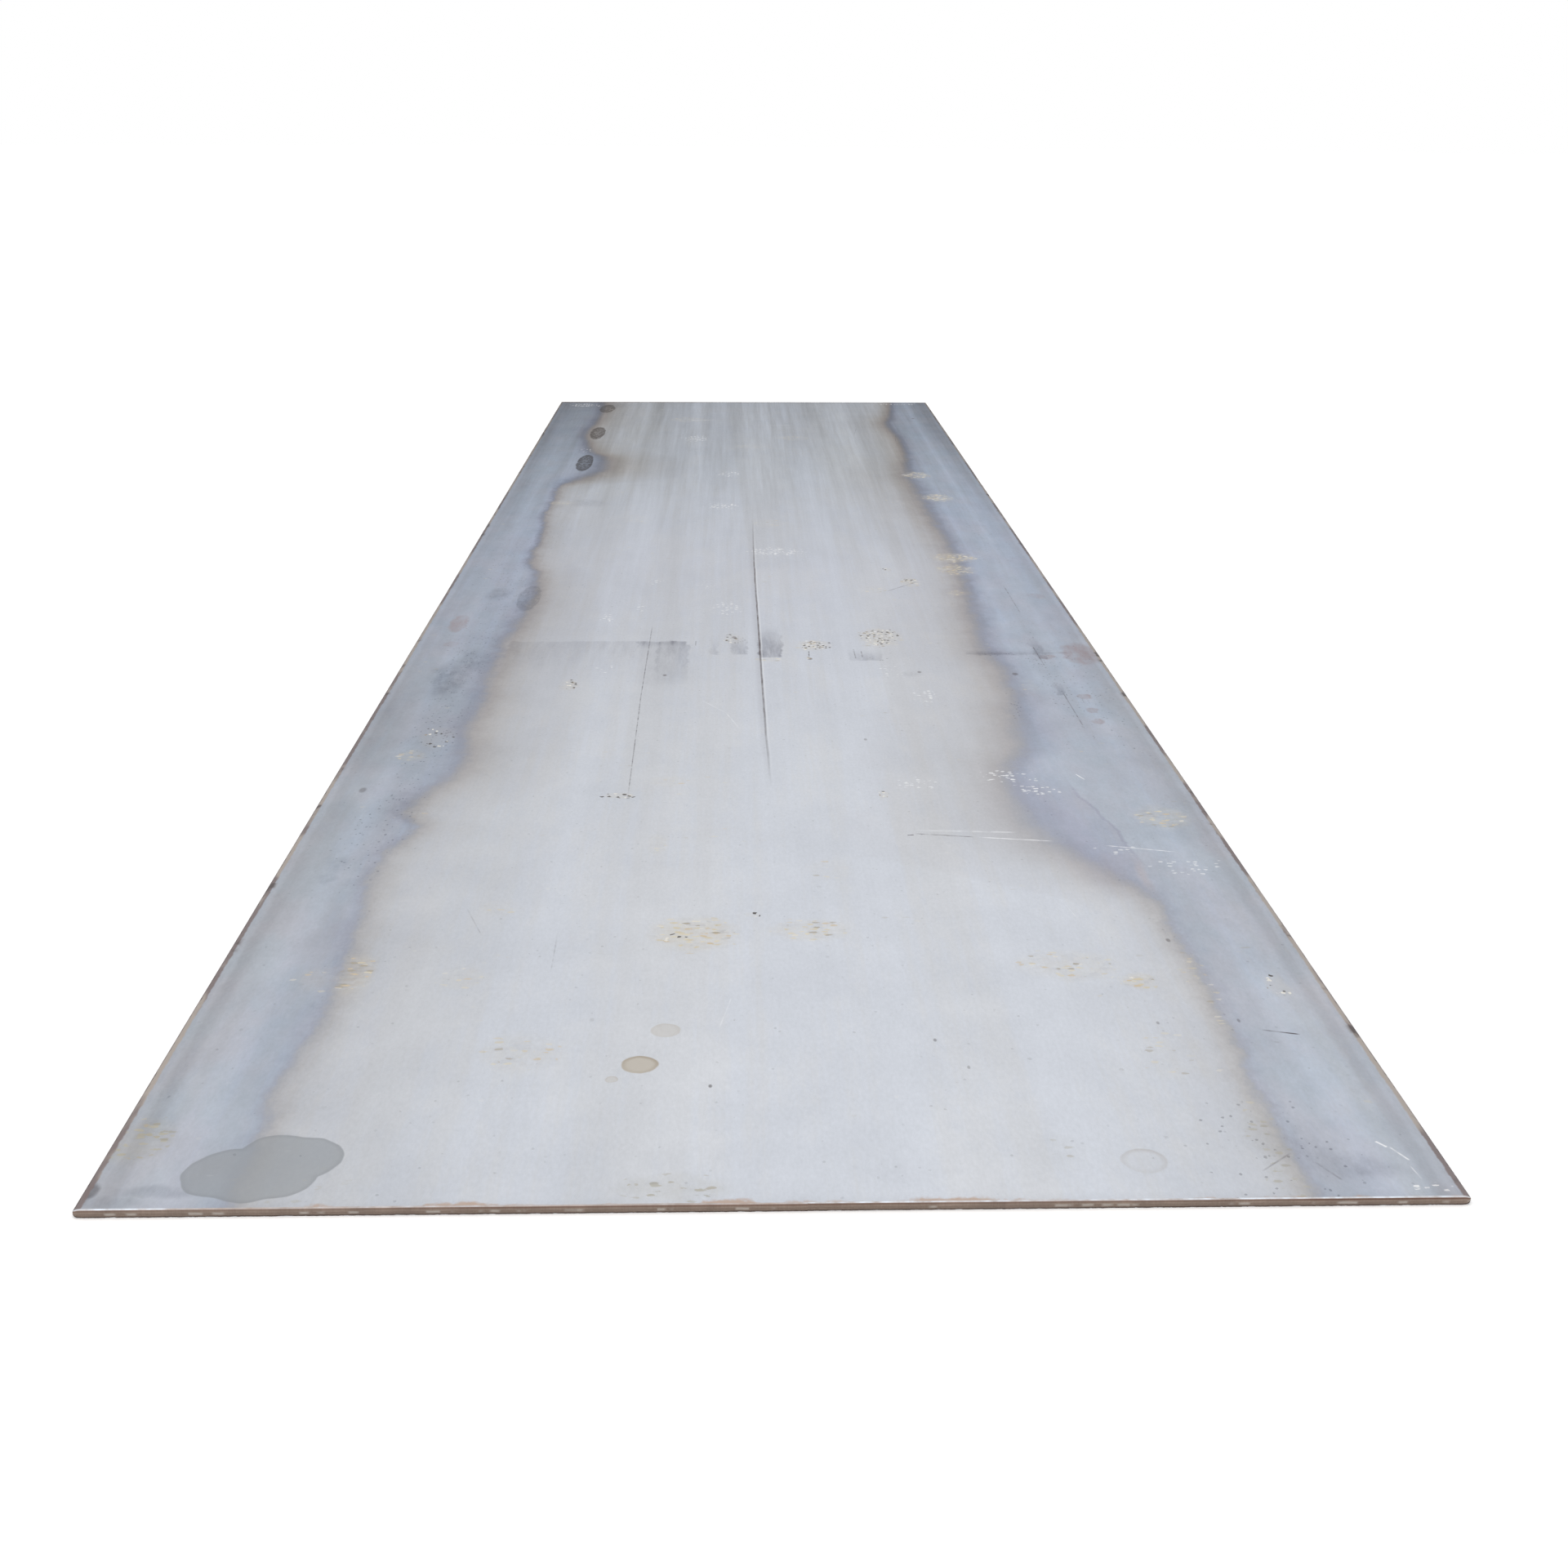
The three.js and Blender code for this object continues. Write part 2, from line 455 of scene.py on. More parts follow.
# Tints, as the factors by which they multiply the red, green and blue under them.
COOL_STREAK = (0.990, 1.0, 1.018)
WARM_STREAK = (1.006, 1.0, 0.990)
WARM_SIDES = (1.012, 1.0, 0.972)
COOL_MARBLE = (0.975, 0.996, 1.0)
WARM_MARBLE = (1.025, 0.996, 0.993)
WARM_RIM = (1.02, 1.0, 0.97)
# Painted shade for the outer edges towards the back.
FAR_EDGE_PAINTED_SHADE = (0.80, 0.80, 0.82)
TONGUE_VIOLET = (0.87, 0.835, 0.865)
TONGUE_DARK = (0.80, 0.77, 0.83)
PUDDLE_RIM = (0.4, 0.4, 0.4)
OVAL_GREY = (0.12, 0.12, 0.14)
OVAL_BROWN = (0.18, 0.14, 0.12)
SMUDGE_GREY = (0.50, 0.51, 0.54)
SMEAR_GREY = (0.42, 0.42, 0.46)
SPECK_GREY = (0.30, 0.30, 0.31)
PAINTED_SHADE_GREY = (0.45, 0.42, 0.42)
BEAD_BROWN = (0.84, 0.80, 0.78)
BEAD_LIGHT = (1.10, 1.10, 1.10)
ROLLOVER_SHADE = (0.72, 0.72, 0.74)
RUBBED_GREY = (0.55, 0.55, 0.57)

# ---------------------------------------------------------------- noises for looks

# Each noise: waves a metre, octaves, roughness and, where it is drawn out, factors on x, y, z.
NOISES = {
    "narrow streaks": (1.0, 4.0, 0.78, (27.0, 0.6, 1.0)),
    "wide streaks": (1.0, 2.0, 0.5, (8.0, 0.2, 1.0)),
    "roll clouds": (4.5, 5.0, 0.84, (1.0, 0.55, 1.0)),
    "weave": (210.0, 2.0, 0.75, (1.0, 0.45, 1.0)),
    "scale grain": (150.0, 2.0, 0.6),
    "uneven gloss": (7.0, 4.0, 0.5),
    "loose outline": (1.0, 2.0, 0.65),
    "dash outline": (1.7, 2.0, 0.6),
    "band ripple": (9.0, 4.0, 0.6),
    "band fray": (48.0, 3.0, 0.7, (1.0, 0.6, 1.0)),
    "band mottle": (20.0, 4.0, 0.75, (1.0, 0.4, 1.0)),
    "band marble": (11.0, 3.0, 0.65, (1.0, 0.45, 1.0)),
    "tongue fray": (12.0, 4.0, 0.7),
    "wet clouds": (14.0, 3.0, 0.5),
    "oval grains": (100.0, 2.0, 0.8, (1.0, 0.45, 1.0)),
    "smudge mottle": (60.0, 3.0, 0.7, (1.0, 0.35, 1.0)),
    "wiped threads": (34.0, 4.0, 0.75, (1.0, 0.12, 1.0)),
    "stray dashes": (3.5, 3.0, 0.6),
    "print film": (45.0, 3.0, 0.5),
    "groove waver": (9.0, 2.0, 0.5, (0.0, 1.0, 0.0)),
    "groove wear": (26.0, 3.0, 0.5),
    "scratch breaks": (60.0, 2.0, 0.5),
    "edge waver": (60.0, 3.0, 0.65),
    "edge blotches": (14.0, 3.0, 0.6, (1.0, 0.3, 1.0)),
    "edge nicks": (11.0, 3.0, 0.6),
    "bead waver": (14.0, 3.0, 0.5),
    "front creep": (45.0, 3.0, 0.7),
    "back creep": (30.0, 3.0, 0.7),
    "under ripple": (5.0, 4.0, 0.6, (1.0, 0.4, 1.0)),
    "under grain": (150.0, 3.0, 0.6),
    "bearer rubs": (2.4, 4.0, 0.6, (0.5, 3.0, 1.0)),
    "under creep": (20.0, 5.0, 0.65),
    "shear strokes": (420.0, 3.0, 0.7, (1.0, 1.0, 0.06)),
    "shear mottle": (24.0, 4.0, 0.6),
    "fracture grains": (600.0, 3.0, 0.7),
    "shine wear": (70.0, 3.0, 0.5),
    "burr teeth": (60.0, 3.0, 0.6),
}
# The range that most of a noise lies in.
NOISE_SPREAD = (0.3, 0.7)

# ---------------------------------------------------------------- nodes


class Nodes:
    """Adds nodes to one node tree. What they put out comes back as signals."""

    def __init__(self, tree):
        self.tree = tree

    def put(self, kind, inputs=(), **settings):
        """Adds a node with its settings and inputs."""
        node = self.tree.nodes.new(kind)
        for key, value in settings.items():
            setattr(node, key, value)
        for key, value in dict(inputs).items():
            self.feed(node.inputs[key], value)
        return node

    def feed(self, socket, value):
        """Links a socket to a signal, or sets its own value."""
        if isinstance(value, Signal):
            self.tree.links.new(value.socket, socket)
        elif socket.type == "RGBA" and len(value) == 3:
            socket.default_value = (*value, 1)
        else:
            socket.default_value = value

    def add(self, kind, inputs=(), output=0, **settings):
        """Adds a node and returns one of its outputs."""
        return Signal(self, self.put(kind, inputs, **settings).outputs[output])

    def outputs(self, node):
        """A node's outputs by name."""
        return {socket.name: Signal(self, socket) for socket in node.outputs}

    def group(self, tree, **inputs):
        """Places a node group, given as its tree or its name. Returns its outputs by name."""
        tree = bpy.data.node_groups[tree] if isinstance(tree, str) else tree
        return self.outputs(self.put("ShaderNodeGroup", inputs, node_tree=tree))

    def ragged(self, place, scale, reach):
        """Places pushed about by noise."""
        return self.group("loose_place", Place=place, Scale=scale, Reach=reach)["Loose"]

    def blend(self, factor, a, b, way="MIX"):
        """Colour a where the factor is 0, and colour b, or the two multiplied, where it is 1."""
        inputs = {"Factor": factor, 6: a, 7: b}
        return self.add("ShaderNodeMix", inputs, 2, data_type="RGBA", blend_type=way)


class Signal:
    """What a node puts out: a value, a colour or a place. Arithmetic on it adds math nodes."""

    def __init__(self, nodes, socket):
        self.nodes, self.socket = nodes, socket

    def math(self, operation, *others, output=0):
        """One step of arithmetic. On a place it works on each axis."""
        kind = "ShaderNodeVectorMath" if self.socket.type == "VECTOR" else "ShaderNodeMath"
        return self.nodes.add(kind, enumerate((self, *others)), output, operation=operation)

    def __add__(self, other):
        return self.math("ADD", other)

    def __sub__(self, other):
        return self.math("SUBTRACT", other)

    def __rsub__(self, whole):
        return self.nodes.add("ShaderNodeMath", {0: whole, 1: self}, operation="SUBTRACT")

    def __mul__(self, other):
        return self.math("MULTIPLY", other)

    def __truediv__(self, other):
        return self.math("DIVIDE", other)

    def __abs__(self):
        return self.math("ABSOLUTE")

    def dot(self, other):
        return self.math("DOT_PRODUCT", other, output="Value")

    def length(self):
        return self.math("LENGTH", output="Value")

    def scaled(self, factor):
        """A place times a value."""
        return self.nodes.add("ShaderNodeVectorMath", {0: self, "Scale": factor}, operation="SCALE")

    @property
    def x(self):
        return self.dot((1, 0, 0))

    @property
    def y(self):
        return self.dot((0, 1, 0))

    @property
    def z(self):
        return self.dot((0, 0, 1))

    def step(self, start, stop):
        """0 up to `start`, 1 from `stop` on, eased between. start may be above stop."""
        inputs = {"Value": self, "From Min": start, "From Max": stop}
        return self.nodes.add("ShaderNodeMapRange", inputs, interpolation_type="SMOOTHSTEP", clamp=False)

    def near(self, middle, reach, softness):
        """1 at a middle, and 0 past its reach. The softness is the share of it that eases."""
        return abs(self - middle).step(reach, reach * (1 - softness))

    def ranged(self, start, stop, to_start, to_stop):
        """Moved from one range to another. Outside the first it runs on past the other."""
        inputs = {
            "Value": self,
            "From Min": start,
            "From Max": stop,
            "To Min": to_start,
            "To Max": to_stop,
        }
        return self.nodes.add("ShaderNodeMapRange", inputs, clamp=False)

    def held(self, lowest=0.0, highest=1.0):
        return self.nodes.add("ShaderNodeClamp", {"Value": self, "Min": lowest, "Max": highest})

    def mixed(self, a, b):
        """Value a where the signal is 0, and b where it is 1."""
        return self.nodes.add("ShaderNodeMix", {"Factor": self, "A": a, "B": b})

    def blend(self, a, b):
        """Colour a where the signal is 0, and b where it is 1."""
        return self.nodes.blend(self, a, b)

    def lit(self, factor):
        """A colour made brighter or darker by a factor."""
        return self.nodes.add("ShaderNodeHueSaturation", {"Color": self, "Value": factor})

    def stretched(self, scale):
        return self.nodes.add("ShaderNodeMapping", {"Vector": self, "Scale": scale})

    def noise(self, name, scale=None):
        """One of the listed noises, cloudy around 0.5. It may get another scale."""
        listed_scale, detail, roughness, *stretch = NOISES[name]
        place = self.stretched(*stretch) if stretch else self
        inputs = {"Vector": place, "Detail": detail, "Roughness": roughness}
        return self.nodes.add("ShaderNodeTexNoise", {**inputs, "Scale": scale or listed_scale})

    def sway(self, reach, name):
        """A noise moved to lie around 0 and made as wide as a reach."""
        return (self.noise(name) - 0.5) * reach

    def mottle(self, lowest, highest, name):
        """A noise spread from a low to a high value."""
        return self.noise(name).ranged(*NOISE_SPREAD, lowest, highest)

    def curve(self, points):
        """A drawn curve through the given (input, output) points, in any units."""
        inputs, outputs = zip(*points)
        start, stop = min(inputs), max(inputs)
        bottom, top = min(outputs), max(outputs)
        share = self.ranged(start, stop, 0.0, 1.0).held()
        node = self.nodes.put("ShaderNodeFloatCurve", {"Value": share})
        drawn = node.mapping.curves[0].points
        scaled = [((x - start) / (stop - start), (y - bottom) / (top - bottom)) for x, y in points]
        drawn[0].location, drawn[1].location = scaled[0], scaled[-1]
        for place in scaled[1:-1]:
            drawn.new(*place)
        for point in drawn:
            point.handle_type = "AUTO_CLAMPED"
        node.mapping.update()
        return Signal(self.nodes, node.outputs[0]).ranged(0.0, 1.0, bottom, top)

    def ramp(self, stops, steps=False):
        """Colours at places from 0 to 1, blended or held from stop to stop."""
        node = self.nodes.put("ShaderNodeValToRGB", {0: self})
        band = node.color_ramp
        band.interpolation = "CONSTANT" if steps else "LINEAR"
        band.elements.remove(band.elements[1])
        band.elements[0].position = stops[0][0]
        band.elements[0].color = (*stops[0][1], 1)
        for place, colour in stops[1:]:
            band.elements.new(place).color = (*colour, 1)
        return Signal(self.nodes, node.outputs[0])


def strongest(masks):
    """The highest of many masks, place by place."""
    return functools.reduce(lambda one, other: one.math("MAXIMUM", other), masks)


# What the sockets of node groups hold. The others hold a value.
SOCKET_KINDS = {
    "Place": "NodeSocketVector",
    "Loose": "NodeSocketVector",
    "Values": "NodeSocketVector",
    "Colour": "NodeSocketColor",
    "Shade": "NodeSocketColor",
}


def node_group(name, inputs, outputs, fill):
    """A node group with named sockets. `fill` takes its inputs and returns its outputs."""
    tree = bpy.data.node_groups.new(name, "ShaderNodeTree")
    for way, names in (("INPUT", inputs), ("OUTPUT", outputs)):
        for socket in names:
            kind = SOCKET_KINDS.get(socket, "NodeSocketFloat")
            tree.interface.new_socket(socket, in_out=way, socket_type=kind)
    nodes = Nodes(tree)
    entry = nodes.outputs(nodes.put("NodeGroupInput"))
    nodes.put("NodeGroupOutput", fill(nodes, entry))
    return tree


def emptied(holder):
    """The nodes of a material or of the world, with its own ones cleared away."""
    holder.use_nodes = True
    holder.node_tree.nodes.clear()
    return Nodes(holder.node_tree)


class Face:
    """The finish of one face of the plate, built up one layer at a time.

    It holds the colour, the relief in metres, and how far the surface is dull: 0 for bare
    mill scale, which is half metal and fairly glossy, and 1 for dry rust or dirt.
    """

    def __init__(self, entry):
        self.place, self.loose = entry["Place"], entry["Loose"]
        self.x, self.y = self.place.x, self.place.y
        self.colour, self.dull, self.relief = entry["Colour"], entry["Dull"], entry["Relief"]

    def effect(self, name, **inputs):
        """One of the shared effects, by its name."""
        return self.place.nodes.group(name, **inputs)

    def ragged(self, scale, reach):
        """Finer or coarser loose places than the face's own."""
        return self.place.nodes.ragged(self.place, scale, reach)

    def cover(self, mask, colour, dull=None):
        """Lays a film over the surface where the mask is 1."""
        self.colour = mask.blend(self.colour, colour)
        if dull is not None:
            self.dull = mask.mixed(self.dull, dull)

    def tint(self, mask, colour):
        """Multiplies the colour where the mask is 1."""
        self.colour = self.place.nodes.blend(mask, self.colour, colour, way="MULTIPLY")

    def wash(self, colour):
        """Multiplies the colour everywhere by another colour."""
        self.tint(1.0, colour)

    def shade(self, factor):
        """Multiplies the colour everywhere by a value around 1."""
        self.colour = self.colour.lit(factor)

    def lift(self, height):
        """Adds to the relief, in metres."""
        self.relief = self.relief + height


def layer_group(draw):
    """One layer as a node group: `draw` takes a face and lays the layer on it."""
    def fill(nodes, entry):
        face = Face(entry)
        draw(face)
        return {"Colour": face.colour, "Dull": face.dull, "Relief": face.relief}
    laid = ("Colour", "Dull", "Relief")
    return node_group(draw.__name__, ("Place", "Loose", *laid), laid, fill)


# How outlines wander, in waves a metre and metres: on most layers, then on a few of them.
LOOSE_OUTLINE = (26.0, 0.030)
WET_OUTLINE = (16.0, 0.014)
DROP_OUTLINE = (35.0, 0.006)
OVAL_OUTLINE = (35.0, 0.012)
# Roughness and metal, each for bare mill scale and for dry rust or dirt on it.
SCALE_TO_DIRT_ROUGHNESS = (0.45, 0.75)
SCALE_TO_DIRT_METAL = (0.75, 0.2)
UNEVEN_ROUGHNESS = 0.05
GLANCING_TINT = (0.6, 0.6, 0.6, 1.0)


def face_material(name, base, layers):
    """A material made of a base colour and layers, the lowest first."""
    material = bpy.data.materials.new(name)
    nodes = emptied(material)
    place = nodes.group("plate_place")["Place"]
    loose = nodes.ragged(place, *LOOSE_OUTLINE)
    laid = {"Colour": base, "Dull": 0.0, "Relief": 0.0}
    for draw in layers:
        laid = nodes.group(layer_group(draw), Place=place, Loose=loose, **laid)
    uneven = place.mottle(-UNEVEN_ROUGHNESS, UNEVEN_ROUGHNESS, "uneven gloss")
    bump = nodes.add("ShaderNodeBump", {"Height": laid["Relief"], "Distance": 1.0, "Strength": 1.0})
    shader = nodes.add("ShaderNodeBsdfPrincipled", {
        "Base Color": laid["Colour"],
        "Roughness": laid["Dull"].ranged(0, 1, *SCALE_TO_DIRT_ROUGHNESS) + uneven,
        "Metallic": laid["Dull"].ranged(0, 1, *SCALE_TO_DIRT_METAL),
        "Specular Tint": GLANCING_TINT,
        "Normal": bump,
    })
    nodes.put("ShaderNodeOutputMaterial", {"Surface": shader})
    return material


# ---------------------------------------------------------------- shared effects

# Temper colours from the band to the bare middle: (place, colour), thin and thick scale.
PALE_TINTS = (
    (0.00, (0.758, 0.792, 0.850)), (0.10, (0.756, 0.790, 0.850)), (0.19, (0.710, 0.742, 0.815)),
    (0.25, (0.665, 0.680, 0.745)), (0.295, (0.70, 0.69, 0.70)), (0.35, (0.785, 0.755, 0.735)),
    (0.417, (0.855, 0.83, 0.81)), (0.50, (0.90, 0.885, 0.87)), (0.583, (0.93, 0.92, 0.91)),
    (0.708, (0.955, 0.947, 0.94)), (0.917, (0.978, 0.973, 0.97)), (1.0, (1.0, 1.0, 1.0)),
)
DEEP_TINTS = (
    (0.00, (0.710, 0.786, 0.905)), (0.10, (0.680, 0.755, 0.890)), (0.17, (0.560, 0.608, 0.748)),
    (0.22, (0.355, 0.39, 0.51)), (0.255, (0.32, 0.325, 0.395)), (0.295, (0.40, 0.355, 0.345)),
    (0.333, (0.545, 0.455, 0.40)), (0.417, (0.70, 0.63, 0.565)), (0.50, (0.81, 0.76, 0.715)),
    (0.583, (0.865, 0.835, 0.805)), (0.708, (0.905, 0.885, 0.870)), (0.80, (0.93, 0.92, 0.915)),
    (0.917, (0.965, 0.96, 0.96)), (1.0, (1.0, 1.0, 1.0)),
)
# Where the tints start in the band and end in the bare middle, in border widths.
TINT_START = -3.0
TINT_STOP = 9.0


def heat_tint(nodes, entry):
    """Temper colours beside the border of a heat-tinted band.

    Distance is in units of one border width: below 0 in the band, above 0 in the bare
    middle. The film grows thicker outwards, so its colour runs from bare steel through
    straw and brown to violet at the border and steel blue in the band. Depth runs from 0 for
    pale tints to 1 for deep ones.
    """
    place = entry["Distance"].ranged(TINT_START, TINT_STOP, 0.0, 1.0)
    return {"Colour": entry["Depth"].blend(place.ramp(PALE_TINTS), place.ramp(DEEP_TINTS))}


def rolling_streaks(nodes, entry):
    """Lengthwise streaks, clouds and fine grain of a rolled surface, as a colour around white."""
    place = entry["Place"]
    narrow = place.noise("narrow streaks") - 0.5
    wide = place.noise("wide streaks") - 0.5
    clouds = place.noise("roll clouds") - 0.5
    weave = place.sway(0.18, "weave")
    streaks = (narrow * 1.5 + wide) * entry["Streaks"]
    warmth = (clouds - (narrow + wide)).step(-0.16, 0.16)
    cool_to_warm = warmth.blend(COOL_STREAK, WARM_STREAK)
    return {"Shade": cool_to_warm.lit(streaks + clouds * entry["Clouds"] + weave + 1.0)}


# The parts of the rolled edge, by distance in from the crest: where each has faded and is full.
TAN_STRIP = (10.5 * MM, 8 * MM)
BROWN_CREST = (3.6 * MM, 0.8 * MM)
NICKED_STRIP = (16 * MM, 6 * MM)


def mill_edge(nodes, entry):
    """The rolled long edge: a tan strip of rubbed scale that turns brown at the crest."""
    place = entry["Place"]
    inward = HALF_WIDTH - abs(place.x)
    depth = inward + place.sway(6 * MM, "edge waver")
    strip, crest = depth.step(*TAN_STRIP), depth.step(*BROWN_CREST)
    blotches = place.noise("edge blotches").step(0.46, 0.56)
    tan = blotches.blend(EDGE_TAN, EDGE_MAUVE)
    brown = crest.blend(tan, EDGE_BROWN)
    nicks = place.noise("edge nicks").step(0.58, 0.66) * depth.step(*NICKED_STRIP)
    colour = nicks.blend(brown, EDGE_NICK)
    return {"Colour": colour, "Mask": strongest((strip, nicks)), "Inward": inward}


def loose_place(nodes, entry):
    """Places pushed about by noise, so that what is drawn on them gets an uneven outline."""
    place = entry["Place"]
    elsewhere = nodes.add("ShaderNodeMapping", {"Vector": place, "Location": (40.0, 40.0, 0.0)})
    across, along = (spot.noise("loose outline", entry["Scale"]) - 0.5 for spot in (place, elsewhere))
    push = nodes.add("ShaderNodeCombineXYZ", {"X": across, "Y": along}).scaled(entry["Reach"])
    return {"Loose": place + push}


def plate_place(nodes, entry):
    """Where a point lies on the plate, in metres from the middle of its underside."""
    return {"Place": nodes.add("ShaderNodeTexCoord", output="Object")}


def add_effects():
    """Makes the node groups that the materials share, each with its inputs and outputs."""
    for fill, inputs, outputs in (
        (plate_place, (), ("Place",)),
        (loose_place, ("Place", "Scale", "Reach"), ("Loose",)),
        (heat_tint, ("Distance", "Depth"), ("Colour",)),
        (rolling_streaks, ("Place", "Streaks", "Clouds"), ("Shade",)),
        (mill_edge, ("Place",), ("Colour", "Mask", "Inward")),
    ):
        node_group(fill.__name__, inputs, outputs, fill)


# ---------------------------------------------------------------- marks by list

PERCENT = 0.01
# How much further than its own length a mark keeps a lane to itself.
LANE_SPARE = 0.06
# How many marks a ramp can look up.
LANE_LENGTH = 31
# What turns metres into shares of the plate's width and length, from 0 to 1, and back.
TO_SHARES = (0.5 / HALF_WIDTH, 0.5 / HALF_LENGTH, 0.0)
TO_METRES = (2 * HALF_WIDTH, 2 * HALF_LENGTH, 0.0)
MIDDLE_SHARE = (0.5, 0.5, 0.0)


def in_metres(marks):
    """Marks in mm, each with its strength in percent at the end, as metres and shares."""
    table = np.array(marks) * MM
    table[:, -1] *= PERCENT / MM
    return table


def lanes_of(marks):
    """Shares marks out over lanes, in each of which they follow one another along the plate.

    A mark begins with its middle, x and y, and its half width and half length.
    """
    lanes = []
    for mark in sorted(marks, key=lambda mark: mark[1] - mark[3]):
        start = mark[1] - mark[3] - LANE_SPARE
        free = [lane for lane in lanes if lane[-1][1] + lane[-1][3] < start and len(lane) < LANE_LENGTH]
        if not free:
            lanes.append([])
            free = lanes[-1:]
        free[0].append(mark)
    return lanes


def looked_up(station, lane, values):
    """The three values of whichever mark of a lane lies at a station along the plate."""
    starts = [0.0]
    for before, after in zip(lane, lane[1:]):
        border = (before[1] + before[3] + after[1] - after[3]) / 2
        starts.append(0.5 + 0.5 * border / HALF_LENGTH)
    stops = list(zip(starts, values))
    tree = node_group("look_up", ("Station",), ("Values",),
                      lambda nodes, entry: {"Values": entry["Station"].ramp(stops, steps=True)})
    return station.nodes.group(tree, Station=station)["Values"]


def as_shares(place):
    """Places as shares of the plate's width and length, and then the share of length alone."""
    here = place.math("MULTIPLY_ADD", TO_SHARES, MIDDLE_SHARE)
    return here, here.y


def shares(x, y):
    """One spot on the plate as shares of its width and length."""
    return 0.5 + 0.5 * x / HALF_WIDTH, 0.5 + 0.5 * y / HALF_LENGTH


def ovals(place, marks):
    """(distance, strength) for each lane of ovals, with a distance of 1 at an oval's rim.

    An oval is (x, y, half width, half length, strength).
    """
    here, station = as_shares(place)
    for lane in lanes_of(in_metres(marks)):
        middles = [(*shares(x, y), 0.0) for x, y, *_ in lane]
        reaches = [(a * TO_SHARES[0], b * TO_SHARES[1], strength) for _, _, a, b, strength in lane]
        offset = here - looked_up(station, lane, middles)
        reach = looked_up(station, lane, reaches)
        yield (offset / reach).length(), reach.z


def gathered(place, marks, softness):
    """One mask for many ovals."""
    return strongest(
        distance.step(1 + softness, 1 - softness) * strength for distance, strength in ovals(place, marks)
    )


# The longest half length of a drawn line along x or y.
LINE_REACH = 0.5
# The widest half width of a drawn line.
LINE_WIDTH = 0.02


def drawn_lane(here, station, lane):
    """The mask of one lane of lines.

    The nearest place on a line is its middle + t half, where half leads from its middle to
    its stop and t is held from -1 to 1.
    """
    first = [(*shares(x, y), width / LINE_WIDTH) for x, y, _, _, _, width, _ in lane]
    second = [
        (half_x + LINE_REACH, half_y + LINE_REACH, strength)
        for _, _, half_x, _, half_y, _, strength in lane
    ]
    first, second = looked_up(station, lane, first), looked_up(station, lane, second)
    offset = (here - first) * TO_METRES
    half = second.math("MULTIPLY_ADD", (1, 1, 0), (-LINE_REACH, -LINE_REACH, 0))
    run = (offset.dot(half) / half.dot(half)).held(-1.0, 1.0)
    mask = (offset - half.scaled(run)).length().step(first.z * LINE_WIDTH, 0.0)
    return mask * abs(run).step(1.0, 0.7) * second.z


def drawn(place, lines):
    """One mask for many lines, each (x, y) of its start and stop, half width, strength."""
    marks = []
    for x0, y0, x1, y1, half_width, strength in in_metres(lines):
        middle = ((x0 + x1) / 2, (y0 + y1) / 2)
        half_x, half_y = (x1 - x0) / 2, (y1 - y0) / 2
        marks.append((*middle, half_x, abs(half_y), half_y, half_width, strength))
    here, station = as_shares(place)
    return strongest(drawn_lane(here, station, lane) for lane in lanes_of(marks))


def scattered(place, across, along, share, loose):
    """Dashes that are there in a share of the cells. Returns their mask and a random value.

    There is one cell to 1 / across by 1 / along metres. loose is how uneven the outlines are.
    """
    nodes, here = place.nodes, place.stretched((across, along, 1.0))
    cells = nodes.outputs(nodes.put("ShaderNodeTexVoronoi", {"Scale": 1.0, "Vector": here}))
    random = nodes.outputs(nodes.put("ShaderNodeSeparateColor", {"Color": cells["Color"]}))
    mask = (cells["Distance"] + here.sway(loose, "dash outline")).step(0.43, 0.29)
    return mask * (random["Red"] - share).step(0.01, -0.03), random["Green"]


# ---------------------------------------------------------------- the top face: heat tints

# How far from the middle each heat-tinted band starts, along the plate: (y, x).
LEFT_BORDER = (
    (-3.0, 0.59), (-2.7, 0.596), (-2.5, 0.583), (-2.25, 0.592), (-2.0, 0.603), (-1.88, 0.573),
    (-1.8, 0.597), (-1.7, 0.583), (-1.6, 0.55), (-1.5, 0.545), (-1.3, 0.562), (-1.2, 0.553),
    (-1.0, 0.564), (-0.6, 0.554), (-0.45, 0.542), (-0.2, 0.54), (0.0, 0.568), (0.2, 0.585),
    (0.4, 0.584), (0.65, 0.598), (1.0, 0.598), (1.13, 0.592), (1.2, 0.575), (1.28, 0.54),
    (1.36, 0.505), (1.5, 0.487), (1.62, 0.492), (1.72, 0.52), (1.8, 0.55), (2.0, 0.575),
    (2.2, 0.592), (2.4, 0.577), (2.7, 0.57), (3.0, 0.582),
)
RIGHT_BORDER = (
    (-3.0, 0.586), (-2.8, 0.58), (-2.6, 0.592), (-2.25, 0.588), (-2.16, 0.58), (-2.1, 0.556),
    (-2.0, 0.508), (-1.9, 0.472), (-1.8, 0.452), (-1.7, 0.446), (-1.6, 0.456), (-1.5, 0.492),
    (-1.4, 0.51), (-1.25, 0.518), (-1.0, 0.533), (-0.8, 0.516), (-0.5, 0.528), (-0.2, 0.54),
    (0.1, 0.552), (0.4, 0.55), (0.7, 0.54), (1.0, 0.54), (1.25, 0.532), (1.5, 0.543), (2.0, 0.563),
    (2.25, 0.552), (2.4, 0.545), (2.5, 0.556), (2.7, 0.581), (3.0, 0.606),
)
